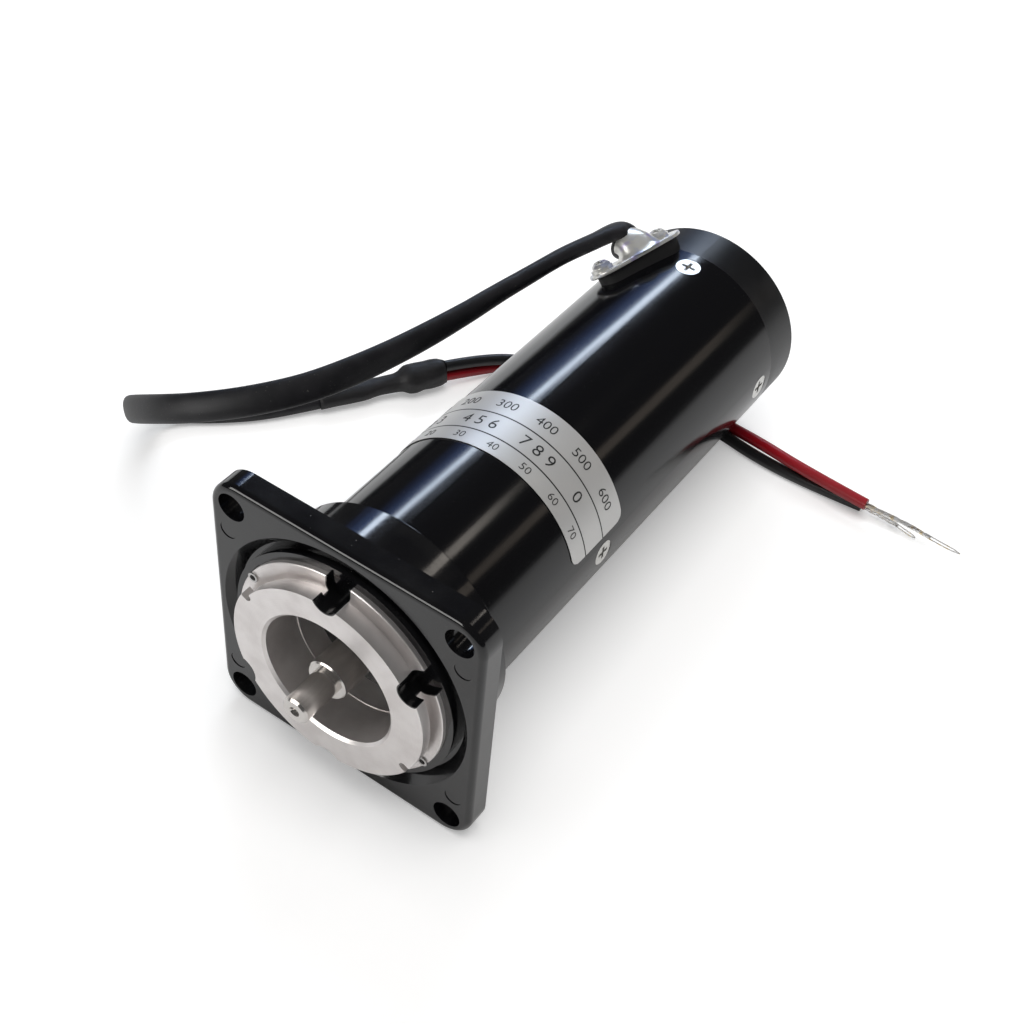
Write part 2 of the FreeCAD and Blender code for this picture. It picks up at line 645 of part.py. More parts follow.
def make_shaft():
    body = new_body("Shaft")
    bearingEnd = f"{pocketFloor} + front_bearing_width"
    rearEnd = "rear_bearing_at + rear_bearing_width"
    turned(body, "ShaftProfile", [
        ("-tip_end", "1.7 * centre_drill"), ("-tip_end", "tip_radius - tip_chamfer"),
        ("tip_chamfer - tip_end", "tip_radius"), ("-journal_start", "tip_radius"),
        ("-journal_start", "journal_radius - 0.4"), ("0.4 - journal_start", "journal_radius"),
        (bearingEnd, "journal_radius"), (bearingEnd, "shaft_body_radius"),
        ("commutator_at - riser_width - 1", "shaft_body_radius"),
        ("commutator_at - riser_width - 1", "commutator_seat - fit_gap"),
        ("rear_bearing_at", "commutator_seat - fit_gap"),
        ("rear_bearing_at", "rear_journal_radius"),
        (f"{rearEnd} + 0.9", "rear_journal_radius"),
        (f"{rearEnd} + 1.3", "rear_journal_radius - 0.4"), (f"{rearEnd} + 1.3", 0),
        ("4 - tip_end", 0), ("3.4 - tip_end", "centre_drill"),
        ("1.3 - tip_end", "centre_drill")])
    return keep(body, "output_shaft")


def make_core():
    body = new_body("Core")
    disc = new_sketch(body, "Lamination", "XZ_Plane", (0, 0, "-core_start"))
    circle(disc, 0, 0, "core_radius")
    circle(disc, 0, 0, "shaft_body_radius + fit_gap")
    extrude(body, "Pad", disc, "core_length", reverse=True)
    cuts = []
    top = "slot_floor + slot_height"
    for name, half, low, high in (("Slot", "slot_width / 2", "slot_floor", top),
                                  ("Mouth", "slot_mouth / 2", f"{top} - 0.5", "core_radius + 1")):
        sketch = new_sketch(body, name, "XZ_Plane", (0, 0, "1 - core_start"))
        rectangle(sketch, f"-{half}", half, low, high)
        cuts.append(extrude(body, "Pocket", sketch, "core_length + 2"))
    around(body, cuts, "slot_count")
    return keep(body, "armature_core")


def make_windings():
    body = new_body("Windings")
    for name, near, far in (("FrontTurns", "core_start - 0.3", "core_start - winding_overhang"),
                            ("RearTurns", f"{coreEnd} + 0.3",
                             f"{coreEnd} + winding_overhang")):
        middle = f"({near}) * 0.3 + ({far}) * 0.7"
        turned(body, name, [
            (near, "winding_bore"), (near, "winding_radius"), (middle, "winding_radius"),
            (far, "winding_radius - 2.6"), (far, "winding_bore + 2.6"), (middle, "winding_bore")])
        if name == "FrontTurns":
            bar = new_sketch(body, "SlotFill", "XZ_Plane", (0, 0, "1 - core_start"))
            rectangle(bar, "turn_gap - slot_width / 2", "slot_width / 2 - turn_gap",
                      "slot_floor + turn_gap", "slot_floor + slot_height - turn_gap")
            filled = extrude(body, "Pad", bar, "core_length + 2", reverse=True)
            around(body, [filled], "slot_count")
    return keep(body, "armature_windings")


def make_commutator():
    body = new_body("Commutator")
    start, end = "commutator_at - riser_width", "commutator_at + commutator_length"
    turned(body, "CommutatorProfile", [
        (start, "commutator_seat"), (start, "riser_radius"), ("commutator_at", "riser_radius"),
        ("commutator_at", "commutator_radius"), (end, "commutator_radius"),
        (end, "commutator_seat")])
    gap = new_sketch(body, "SegmentGap", "XZ_Plane", (0, 0, f"1 - ({start})"))
    rectangle(gap, "-segment_gap / 2", "segment_gap / 2", "commutator_radius - 0.9",
              "riser_radius + 1")
    cut = extrude(body, "Pocket", gap, "commutator_length + riser_width + 2")
    around(body, [cut], "segment_count")
    return keep(body, "commutator")


# ---------------------------------------------------------------- brush gear

plateStart = f"({spigotStart}) - brush_plate_thickness"
brushMiddle = "commutator_at + commutator_length / 2 + 1"
brushEnd = "commutator_radius + brush_gap + brush_height"
boxEnd = "tube_radius - tube_wall - 0.8"


def make_brush_plate():
    body = new_body("BrushPlate")
    turned(body, "PlateSection", [
        (plateStart, "brush_plate_bore"), (plateStart, spigotRadius),
        (spigotStart, spigotRadius), (spigotStart, "brush_plate_bore")])
    bore_at(body, "SubtractiveCylinder", clampFrame, "cable_diameter / 2 + 0.8",
            "tube_radius - tube_wall - cap_spigot_wall - 3", "10")
    return keep(body, "brush_plate")


def make_brush_boxes():
    body = new_body("BrushBoxes")
    front = f"{brushMiddle} - brush_length / 2 - 0.1 - box_wall"
    outside = new_sketch(body, "BoxOutside", "YZ_Plane", (0, 0, "box_inner_end"))
    half = "brush_width / 2 + 0.1 + box_wall"
    rectangle(outside, front, plateStart, f"-({half})", half)
    block = extrude(body, "Pad", outside, f"{boxEnd} - box_inner_end")
    inside = new_sketch(body, "BoxInside", "YZ_Plane", (0, 0, "box_inner_end - 1"))
    rectangle(inside, f"{brushMiddle} - brush_length / 2 - 0.1",
              f"{brushMiddle} + brush_length / 2 + 0.1",
              "-brush_width / 2 - 0.1", "brush_width / 2 + 0.1")
    channel = extrude(body, "Pocket", inside, f"{boxEnd} - box_inner_end - box_wall + 1",
                      reverse=True)
    around(body, [block, channel], "2")
    return keep(body, "brush_boxes")


def make_brushes():
    body = new_body("Brushes")
    sketch = new_sketch(body, "BrushSection", "YZ_Plane", (0, 0, "commutator_radius - 1"))
    rectangle(sketch, f"{brushMiddle} - brush_length / 2", f"{brushMiddle} + brush_length / 2",
              "-brush_width / 2", "brush_width / 2")
    block = extrude(body, "Pad", sketch, f"{brushEnd} - commutator_radius + 1")
    around(body, [block], "2")
    turned(body, "ContactFace", [
        ("commutator_at", 0), ("commutator_at", "commutator_radius + brush_gap"),
        ("commutator_at + commutator_length", "commutator_radius + brush_gap"),
        ("commutator_at + commutator_length", 0)], "Groove")
    return keep(body, "carbon_brushes")


def make_brush_springs():
    start = evaluate(brushEnd) + val.spring_wire + 0.05
    end = evaluate(boxEnd) - val.box_wall - val.spring_wire - 0.05
    coils = 5
    springs = []
    for side in (1, -1):
        helix = Part.makeHelix((end - start) / coils, end - start, val.spring_radius)
        wire = Part.Wire(helix.Edges)
        profile = Part.Wire([Part.makeCircle(val.spring_wire, Vector(val.spring_radius, 0, 0),
                                             Vector(0, 1, 0))])
        spring = wire.makePipeShell([profile], True, True)
        spring.Placement = Placement(Vector(side * start, evaluate(brushMiddle), 0),
                                     Rotation(Vector(0, 1, 0), 90 * side))
        springs.append(spring)
    feature = doc.addObject("Part::Feature", "BrushSprings")
    feature.Shape = Part.makeCompound(springs)
    return keep(feature, "brush_springs")


def make_internal_wires():
    """Two insulated wires inside the tube, from the cable to the sides of the brush boxes."""
    circleRadius = val.inner_wire_circle
    wireAt = evaluate(plateStart) - val.inner_wire_radius - 0.6
    boxSide = val.brush_width / 2 + 0.1 + val.box_wall + 0.02
    boxTurn = math.degrees(math.asin(boxSide / circleRadius))
    off = val.clamp_station - wireAt
    tailSide = math.sqrt(max((val.cable_diameter / 2) ** 2 - off ** 2, 1.0)) + 0.02
    tailTurn = math.degrees(tailSide / circleRadius)
    wires = []
    for start, end in ((-90 + boxTurn, val.clamp_angle - tailTurn),
                       (val.clamp_angle + tailTurn, 90 - boxTurn)):
        points = []
        for share in (0.0, 0.5, 1.0):
            angle = math.radians(start + (end - start) * share)
            points.append(Vector(circleRadius * math.sin(angle), wireAt,
                                 circleRadius * math.cos(angle)))
        path = Part.Wire([Part.Arc(*points).toShape()])
        tangent = path.Edges[0].tangentAt(path.Edges[0].FirstParameter)
        section = Part.Wire([Part.makeCircle(val.inner_wire_radius, points[0], tangent)])
        wires.append(path.makePipeShell([section], True, True))
    feature = doc.addObject("Part::Feature", "InternalWires")
    feature.Shape = Part.makeCompound(wires)
    return keep(feature, "internal_wires")


# ---------------------------------------------------------------- cable clamp

# drawn in clampFrame: Z points out of the tube, Y runs along the clamp's two ears
clampPlacement = motorFrame.multiply(clampFrame)
padTop = "tube_radius + pad_height"
tailHeight = f"{padTop} + hood_radius - hood_sheet - 0.4 - cable_diameter / 2"


def ear_outline(body, height, thickness):
    """The clamp's outline: a bar with round ends."""
    bar = new_sketch(body, "Bar", "XY_Plane", (0, 0, height))
    straight = "(clamp_length - clamp_width) / 2"
    rectangle(bar, "-clamp_width / 2", "clamp_width / 2", f"-{straight}", straight)
    extrude(body, "Pad", bar, thickness)
    for side in (-1, 1):
        end = new_sketch(body, "End", "XY_Plane", (0, 0, height))
        circle(end, 0, f"{side} * {straight}", "clamp_width / 2 - 0.002")
        extrude(body, "Pad", end, thickness)


def ear_holes(body, low, depth):
    holes = new_sketch(body, "EarHoles", "XY_Plane", (0, 0, low))
    for side in (-1, 1):
        circle(holes, 0, f"{side} * clamp_screw_spacing / 2", "clamp_screw_radius + fit_gap")
    extrude(body, "Pocket", holes, depth, reverse=True)


def make_clamp_pad():
    body = new_body("ClampPad")
    low = "tube_radius - 2.5"
    ear_outline(body, low, f"{padTop} - ({low})")
    saddle = body.newObject("PartDesign::SubtractiveCylinder", "Saddle")
    bind(saddle, Radius="tube_radius + fit_gap", Height="4 * clamp_length")
    saddle.Placement = Placement(
        Vector(0, 0, 0), Rotation(Vector(0, 0, 1), val.clamp_turn)).multiply(
        Placement(Vector(0, 2 * val.clamp_length, 0), Rotation(Vector(1, 0, 0), 90)))
    body.Tip = saddle
    passage = new_sketch(body, "Passage", "XY_Plane", (0, 0, low))
    circle(passage, 0, 0, "cable_diameter / 2 + seat_gap")
    extrude(body, "Pocket", passage, "10", reverse=True)
    channel = new_sketch(body, "Channel", "XY_Plane",
                         (0, 0, f"{tailHeight} - cable_diameter / 2 - seat_gap"))
    rectangle(channel, "-clamp_width", 0, "-cable_diameter / 2 - seat_gap",
              "cable_diameter / 2 + seat_gap")
    extrude(body, "Pocket", channel, "10", reverse=True)
    ear_holes(body, low, "10")
    return keep(body, "clamp_pad", clampPlacement)


def make_hood():
    body = new_body("Hood")
    ear_outline(body, padTop, "hood_sheet")
    for radius, adding, reach in (("hood_radius", True, "hood_reach"),
                                  ("hood_radius - hood_sheet", False, "hood_reach + 3")):
        kind = "Additive" if adding else "Subtractive"
        if not adding:
            under = new_sketch(body, "Under", "XY_Plane", (0, 0, padTop))
            rectangle(under, "-clamp_length", "clamp_length", "-clamp_length", "clamp_length")
            extrude(body, "Pocket", under, "3 * hood_radius")
        barrel = body.newObject(f"PartDesign::{kind}Cylinder", "Barrel")
        bind(barrel, Radius=radius, Height=reach)
        barrel.Placement = Placement(Vector(0, 0, evaluate(padTop)),
                                     Rotation(Vector(0, 1, 0), -90))
        body.Tip = barrel
        dome = body.newObject(f"PartDesign::{kind}Sphere", "Dome")
        bind(dome, Radius=radius)
        dome.Placement = Placement(Vector(0, 0, evaluate(padTop)), Rotation())
        body.Tip = dome
    ear_holes(body, padTop + " - 1", "hood_sheet + 2")
    return keep(body, "cable_hood", clampPlacement)


def make_clamp_screws():
    body = new_body("ClampScrews")
    seat = f"{padTop} + hood_sheet"
    low = "tube_radius - tube_wall + 0.2"
    for side in (-1, 1):
        sketch = new_sketch(body, "ScrewProfile", "YZ_Plane",
                            (f"{side} * clamp_screw_spacing / 2", 0, 0))
        outline(sketch, [
            (0, low), ("clamp_screw_radius", low), ("clamp_screw_radius", seat),
            ("clamp_head_radius", seat), ("clamp_head_radius", f"{seat} + 0.5 * clamp_head_height"),
            ("0.7 * clamp_head_radius", f"{seat} + clamp_head_height"),
            (0, f"{seat} + clamp_head_height")])
        turn(body, "Revolution", sketch, axis="V_Axis")
    for side in (-1, 1):
        cross = new_sketch(body, "Recess", "XY_Plane",
                           (0, f"{side} * clamp_screw_spacing / 2",
                            f"{seat} + clamp_head_height"))
        a, b = "0.55 * clamp_head_radius", "recess_width / 2 * 0.8"
        outline(cross, [(b, b), (b, a), (f"-{b}", a), (f"-{b}", b), (f"-{a}", b),
                        (f"-{a}", f"-{b}"), (f"-{b}", f"-{b}"), (f"-{b}", f"-{a}"),
                        (b, f"-{a}"), (b, f"-{b}"), (a, f"-{b}"), (a, b)])
        extrude(body, "Pocket", cross, "0.7 * clamp_head_height")
    return keep(body, "clamp_screws", clampPlacement)


def make_cable_tail():
    """The cable's end under the hood: in through the tube wall, bent over to the mouth."""
    height = evaluate(tailHeight)
    bend = val.cable_diameter / 2 + 0.6
    inside = val.tube_radius - val.tube_wall - 3.2
    edges = [Part.LineSegment(Vector(0, 0, inside), Vector(0, 0, height - bend)),
             Part.Arc(Vector(0, 0, height - bend),
                      Vector(-bend + bend * math.cos(math.pi / 4), 0,
                             height - bend + bend * math.sin(math.pi / 4)),
                      Vector(-bend, 0, height)),
             Part.LineSegment(Vector(-bend, 0, height), Vector(-val.hood_reach, 0, height))]
    path = Part.Wire([edge.toShape() for edge in edges])
    section = Part.Wire([Part.makeCircle(val.cable_diameter / 2 - 0.02, Vector(0, 0, inside))])
    feature = doc.addObject("Part::Feature", "CableTail")
    feature.Shape = path.makePipeShell([section], True, True)
    return keep(feature, "cable_tail", clampPlacement)


# ---------------------------------------------------------------- label


def make_label():
    body = new_body("Label")
    inner = "tube_radius + seat_gap"
    turned(body, "LabelSection", [
        ("label_start", inner), ("label_start", f"{inner} + label_thickness"),
        ("label_start + label_width", f"{inner} + label_thickness"),
        ("label_start + label_width", inner)], angle="label_sweep")
    # each corner is rounded by a cut that points out of the tube there
    cornerAngle = evaluate("label_sweep / 2") - math.degrees(val.label_corner / val.tube_radius)
    for side in (-1, 1):
        for edge, inward in (("label_start", 1), ("(label_start + label_width)", -1)):
            cut = new_sketch(body, "CornerCut", "XY_Plane")
            cut.AttachmentOffset = Placement(
                Vector(0, 0, 0), Rotation(Vector(0, 1, 0), side * cornerAngle))
            arc = [(f"{side} * label_corner * sin({a})",
                    f"{edge} + {inward} * label_corner * (1 - cos({a}))")
                   for a in (0, 22.5, 45, 67.5, 90)]
            outline(cut, [(0, f"{edge} - {inward}")] + arc + [
                (f"{side} * (label_corner + 1.5)", f"{edge} + {inward} * label_corner"),
                (f"{side} * (label_corner + 1.5)", f"{edge} - {inward}")])
            extrude(body, "Pocket", cut, "tube_radius + 5", reverse=True)
    return keep(body, "rating_label")


# ---------------------------------------------------------------- cable, sleeve and leads


def cord_path(points):
    """Straight runs joined by tangent arcs, each as large as its two runs allow."""
    edges = []
    start = points[0]
    radii = []
    for before, corner, after in zip(points, points[1:], points[2:]):
        incoming = (corner - before).normalize()
        outgoing = (after - corner).normalize()
        turnAngle = incoming.getAngle(outgoing)
        shorter = min((corner - before).Length, (after - corner).Length)
        cut = 0.45 * shorter
        radii.append(cut / math.tan(turnAngle / 2))
        enter = corner - incoming * cut
        leave = corner + outgoing * cut
        sag = radii[-1] * (1 / math.cos(turnAngle / 2) - 1)
        inward = (outgoing - incoming).normalize()
        edges.append(Part.LineSegment(start, enter).toShape())
        edges.append(Part.Arc(enter, corner + inward * sag, leave).toShape())
        start = leave
    edges.append(Part.LineSegment(start, points[-1]).toShape())
    return Part.Wire(edges), radii


def make_cord(name, label, points, diameter):
    path, radii = cord_path(points)
    start = path.Edges[0]
    section = Part.Wire([Part.makeCircle(diameter / 2, points[0],
                                         start.tangentAt(start.FirstParameter))])
    feature = doc.addObject("Part::Feature", name)
    feature.Shape = path.makePipeShell([section], True, True)
    expected = math.pi * diameter ** 2 / 4 * path.Length
    print(label, "length", round(path.Length, 1), "volume ratio",
          round(feature.Shape.Volume / expected, 4),
          "radii", [round(radius, 1) for radius in radii])
    return keep(feature, label, Placement())


cordStation = 159.5  # the clamp's station at which the routes were laid out


def resting(x, y, z):
    """A point of the resting motor; y is counted from under the flange's front.

    The cords stay where they are at the rear end when the motor's length changes.
    """
    return Vector(x, y - middle + val.clamp_station - cordStation, z)


def side_by_side(axis, offset):
    """Where a lead's middle starts on the sleeve's end."""
    return axis + Vector(0, 0, offset)


hoodMouth = clampPlacement.multVec(Vector(-val.hood_reach, 0, evaluate(tailHeight)))
mouthOut = clampPlacement.multVec(Vector(-val.hood_reach - 8.0, 0, evaluate(tailHeight)))
sleeveStart = resting(-94.0, 103.7, 4.2)
sleeveEnd = resting(-68.7, 136.7, 6.0)

cableRoute = [
    hoodMouth, mouthOut, resting(-33.6, 157.6, 62.6), resting(-34.6, 148.6, 64.0),
    resting(-35.5, 136.6, 65.5), resting(-37.5, 122.6, 66.4), resting(-40.4, 104.2, 66.3),
    resting(-44.9, 86.5, 65.6), resting(-50.1, 70.4, 65.1), resting(-57.8, 55.7, 63.4),
    resting(-69.0, 43.3, 61.2), resting(-82.3, 35.1, 57.2), resting(-97.1, 34.2, 48.9),
    resting(-117.5, 42.9, 30.3), resting(-131.3, 58.5, 10.4), resting(-127.4, 69.4, 3.9),
    resting(-115.1, 79.2, 3.6), resting(-103.9, 90.9, 3.6), sleeveStart]

# both leads pass under the tube; beyond it the red one climbs over the black one
redRoute = [
    side_by_side(sleeveEnd, -2.1), resting(-60.3, 150.0, 2.7), resting(-50.3, 162.4, 1.9),
    resting(-37.3, 172.2, 1.9), resting(-20.3, 178.0, 1.9), resting(0.0, 178.9, 1.9),
    resting(18.5, 176.7, 2.2), resting(32.6, 173.1, 5.2), resting(50.0, 169.9, 6.2),
    resting(72.8, 168.7, 6.2)]
blackRoute = [
    side_by_side(sleeveEnd, 2.1), resting(-60.5, 149.8, 7.1), resting(-48.1, 160.0, 5.2),
    resting(-34.9, 168.2, 2.6), resting(-18.8, 173.3, 1.9), resting(0.0, 174.4, 1.9),
    resting(18.5, 172.3, 1.9), resting(32.6, 170.0, 1.9), resting(50.0, 169.6, 1.9),
    resting(70.8, 171.5, 1.9)]
redStrandRoute = [
    redRoute[-1], resting(81.3, 169.6, 5.3), resting(90.3, 170.4, 4.6),
    resting(97.5, 170.2, 3.9), resting(104.9, 170.5, 3.4)]
blackStrandRoute = [
    blackRoute[-1], resting(77.2, 171.9, 1.7), resting(83.6, 171.3, 1.4),
    resting(90.4, 170.1, 1.2)]


def make_sleeve():
    """A heat-shrink sleeve: slim over the cable, thick over the splices."""
    along = sleeveEnd - sleeveStart
    body = new_body("Sleeve")
    end = str(along.Length)
    turned(body, "SleeveProfile", [
        (0, 0), (0, "sleeve_radius"), (16, "sleeve_radius"), (16.5, "sleeve_radius - 0.4"),
        (20, "sleeve_radius - 0.4"), (22.5, "splice_radius"), (34, "splice_radius - 0.3"),
        (end, "sleeve_end_radius"), (end, 0)])
    return keep(body, "splice_sleeve",
                Placement(sleeveStart, Rotation(Vector(0, 1, 0), along)))


def main():
    for make in (make_flange, make_adapter_ring, make_ring_pins, make_ring_screws, make_tube,
                 make_end_cap, make_magnets, make_spacers, make_bearings, make_shaft, make_core,
                 make_windings, make_commutator, make_brush_plate, make_brush_boxes, make_brushes,
                 make_brush_springs, make_internal_wires, make_clamp_pad, make_hood,
                 make_clamp_screws, make_cable_tail, make_label, make_sleeve):
        make()
    make_tube_screws("RearScrews", "rear_tube_screws", "rear_screw_at", "Z",
                     "tube_radius - tube_wall - cap_spigot_wall + 0.3", "rear_screw_count")
    make_tube_screws("FrontScrews", "front_tube_screws", "front_screw_at", "X",
                     "spacer_bore + 0.3", "2")
    make_cord("Cable", "power_cable", cableRoute, val.cable_diameter)
    make_cord("RedLead", "red_lead", redRoute, val.lead_diameter)
    make_cord("BlackLead", "black_lead", blackRoute, val.lead_diameter)
    make_cord("RedStrands", "red_strands", redStrandRoute, val.strand_diameter)
    make_cord("BlackStrands", "black_strands", blackStrandRoute, val.strand_diameter)
    doc.recompute()
    for item in doc.Objects:
        if "Invalid" in item.State or "Error" in item.State:
            raise RuntimeError(f"{item.Name} failed: {item.State}")
    for node in nodes:
        shape = node.Shape
        if shape.isNull() or not shape.isValid():
            raise RuntimeError(f"{node.Label} has no valid shape")
    for node in nodes:
        node.Shape.exportStep(f"parts/{node.Label}.step")
    print(len(nodes), "sub-parts written")


main()
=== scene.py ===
import json
import math

import bmesh
import bpy
from mathutils import Matrix, Vector, noise


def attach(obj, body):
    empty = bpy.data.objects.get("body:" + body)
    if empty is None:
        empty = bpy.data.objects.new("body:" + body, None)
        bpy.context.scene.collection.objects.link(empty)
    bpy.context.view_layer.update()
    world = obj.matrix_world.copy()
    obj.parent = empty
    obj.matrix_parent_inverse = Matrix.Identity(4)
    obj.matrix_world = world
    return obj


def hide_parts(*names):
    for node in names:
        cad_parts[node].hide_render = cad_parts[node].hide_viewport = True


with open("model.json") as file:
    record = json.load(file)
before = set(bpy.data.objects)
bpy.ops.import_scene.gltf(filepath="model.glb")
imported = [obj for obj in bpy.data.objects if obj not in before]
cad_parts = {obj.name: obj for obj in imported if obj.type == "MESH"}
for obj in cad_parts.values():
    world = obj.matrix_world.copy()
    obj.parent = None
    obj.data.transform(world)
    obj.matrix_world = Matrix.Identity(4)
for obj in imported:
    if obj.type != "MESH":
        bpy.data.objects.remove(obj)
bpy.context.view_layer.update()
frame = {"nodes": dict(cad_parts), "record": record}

mm = 0.001
spin = frame["record"]["behaviour"]["joints"][0]
axisPoint = Vector(spin["pos_m"])
shaftAxis = Vector(spin["axis"]).normalized()
tilt = math.atan2(shaftAxis.z, -shaftAxis.y)
# from the motor's own frame (flange front at 0, +Y to the rear) to the resting motor
motorSpace = Matrix.Translation(axisPoint) @ Matrix.Rotation(-tilt, 4, "X")


# camera, floor and lights

cameraSettings = {
    "place": (0.161197, -0.266549, 0.365390),
    "right": (0.8172727, 0.57410384, 0.04970028),
    "up": (-0.45107998, 0.58369252, 0.67515176),
    "lens": 55.58,
}


def makeCamera(s):
    data = bpy.data.cameras.new("Camera")
    data.lens = s["lens"]
    data.sensor_width = 36
    camera = bpy.data.objects.new("Camera", data)
    right, up = Vector(s["right"]), Vector(s["up"])
    turn = Matrix((right, up, right.cross(up))).transposed()
    camera.matrix_world = Matrix.Translation(s["place"]) @ turn.to_4x4()
    bpy.context.scene.collection.objects.link(camera)
    bpy.context.scene.camera = camera


class Link:  # a socket that can stand in sums
    def __init__(self, finish, socket):
        self.finish, self.socket = finish, socket

    def sum(self, operation, first, second):
        return self.finish.maths(operation, first, second)

    def __add__(self, other):
        return self.sum("ADD", self, other)

    def __radd__(self, other):
        return self.sum("ADD", other, self)

    def __sub__(self, other):
        return self.sum("SUBTRACT", self, other)

    def __rsub__(self, other):
        return self.sum("SUBTRACT", other, self)

    def __mul__(self, other):
        return self.sum("MULTIPLY", self, other)

    def __rmul__(self, other):
        return self.sum("MULTIPLY", other, self)

    def __pow__(self, other):
        return self.sum("POWER", self, other)


class Finish:  # a material under construction
    def __init__(self, name, **sockets):
        self.material = bpy.data.materials.new(name)
        self.material.use_nodes = True
        self.tree = self.material.node_tree
        self.shader = self.tree.nodes["Principled BSDF"]
        self.fill(self.shader, {k.replace("_", " "): v for k, v in sockets.items()})
        self.place = self.node("ShaderNodeTexCoord", out="Object")

    def fill(self, made, sockets):
        for name, value in sockets.items():
            socket = made.inputs[name]
            if isinstance(value, Link):
                self.tree.links.new(value.socket, socket)
            elif socket.type == "RGBA":
                socket.default_value = (*value[:3], 1)
            else:
                socket.default_value = value

    def node(self, kind, settings=None, sockets=None, out=0):
        made = self.tree.nodes.new(kind)
        for name, value in (settings or {}).items():
            setattr(made, name, value)
        self.fill(made, sockets or {})
        return Link(self, made.outputs[out])

    def maths(self, operation, *values):
        return self.node("ShaderNodeMath", {"operation": operation}, dict(enumerate(values)))

    def part(self, place, axis):
        return self.node("ShaderNodeSeparateXYZ", None, {"Vector": place}, axis)

    def motorPlace(self):  # object coordinates turned into the motor's own frame
        return self.node("ShaderNodeMapping", {"vector_type": "TEXTURE"}, {
            "Vector": self.place, "Location": axisPoint, "Rotation": (-tilt, 0, 0)})

    def stretched(self, scale):
        return self.node("ShaderNodeMapping", {"vector_type": "POINT"}, {
            "Vector": self.place, "Scale": scale})

    def noise(self, scale, detail, place=None):
        return self.node("ShaderNodeTexNoise", {"noise_dimensions": "3D"}, {
            "Vector": place or self.place, "Scale": scale, "Detail": detail}, "Fac")

    def streaks(self, along, scale, detail):
        return self.node("ShaderNodeTexNoise", {"noise_dimensions": "1D"}, {
            "W": along, "Scale": scale, "Detail": detail}, "Fac")

    def fade(self, value, start, end, low=0.0, high=1.0):
        return self.node("ShaderNodeMapRange", {"interpolation_type": "SMOOTHSTEP"}, {
            "Value": value, "From Min": start, "From Max": end, "To Min": low,
            "To Max": high}, "Result")

    def blend(self, factor, first, second):
        return self.node("ShaderNodeMix", {"data_type": "RGBA"}, {
            0: factor, 6: first, 7: second}, 2)

    def relief(self, height, depth, under=None):
        sockets = {"Height": height, "Distance": depth, "Strength": 1.0}
        if under:
            sockets["Normal"] = under
        return self.node("ShaderNodeBump", None, sockets, "Normal")

    def turning(self):  # one number that runs along the lathe's feed, on faces and walls alike
        place = self.motorPlace()
        flat = self.node("ShaderNodeVectorMath", {"operation": "MULTIPLY"}, {
            0: place, 1: (1, 0, 1)}, "Vector")
        radius = self.node("ShaderNodeVectorMath", {"operation": "LENGTH"}, {0: flat}, "Value")
        return radius + self.part(place, "Y")

    def use(self, **sockets):
        self.fill(self.shader, {k.replace("_", " "): v for k, v in sockets.items()})
        return self.material


floorSettings = {"reach": 3.0, "colour": (0.86, 0.86, 0.86), "glow": 0.30}


def makeFloor(s):
    bm = bmesh.new()
    bmesh.ops.create_grid(bm, x_segments=1, y_segments=1, size=s["reach"])
    mesh = bpy.data.meshes.new("floor")
    bm.to_mesh(mesh)
    bm.free()
    floor = bpy.data.objects.new("floor", mesh)
    bpy.context.scene.collection.objects.link(floor)
    finish = Finish("paleFloor", Base_Color=s["colour"], Roughness=0.9, Specular_IOR_Level=0.0)
    ray = finish.node("ShaderNodeLightPath", out="Is Camera Ray")
    finish.use(Emission_Color=(1, 1, 1), Emission_Strength=ray * s["glow"])
    mesh.materials.append(finish.material)


# how strong the white world is to the camera, in reflections and for all other light
worldSettings = {"toCamera": 1.0, "toGloss": 0.05, "toRest": 0.34}


def makeWorld(s):
    world = bpy.data.worlds.new("World")
    bpy.context.scene.world = world
    world.use_nodes = True
    tree = world.node_tree
    ray = tree.nodes.new("ShaderNodeLightPath")
    gloss = tree.nodes.new("ShaderNodeMix")
    gloss.inputs[2].default_value = s["toRest"]
    gloss.inputs[3].default_value = s["toGloss"]
    tree.links.new(ray.outputs["Is Glossy Ray"], gloss.inputs[0])
    camera = tree.nodes.new("ShaderNodeMix")
    camera.inputs[3].default_value = s["toCamera"]
    tree.links.new(gloss.outputs[0], camera.inputs[2])
    tree.links.new(ray.outputs["Is Camera Ray"], camera.inputs[0])
    tree.links.new(camera.outputs[0], tree.nodes["Background"].inputs["Strength"])
    tree.nodes["Background"].inputs["Color"].default_value = (1, 1, 1, 1)


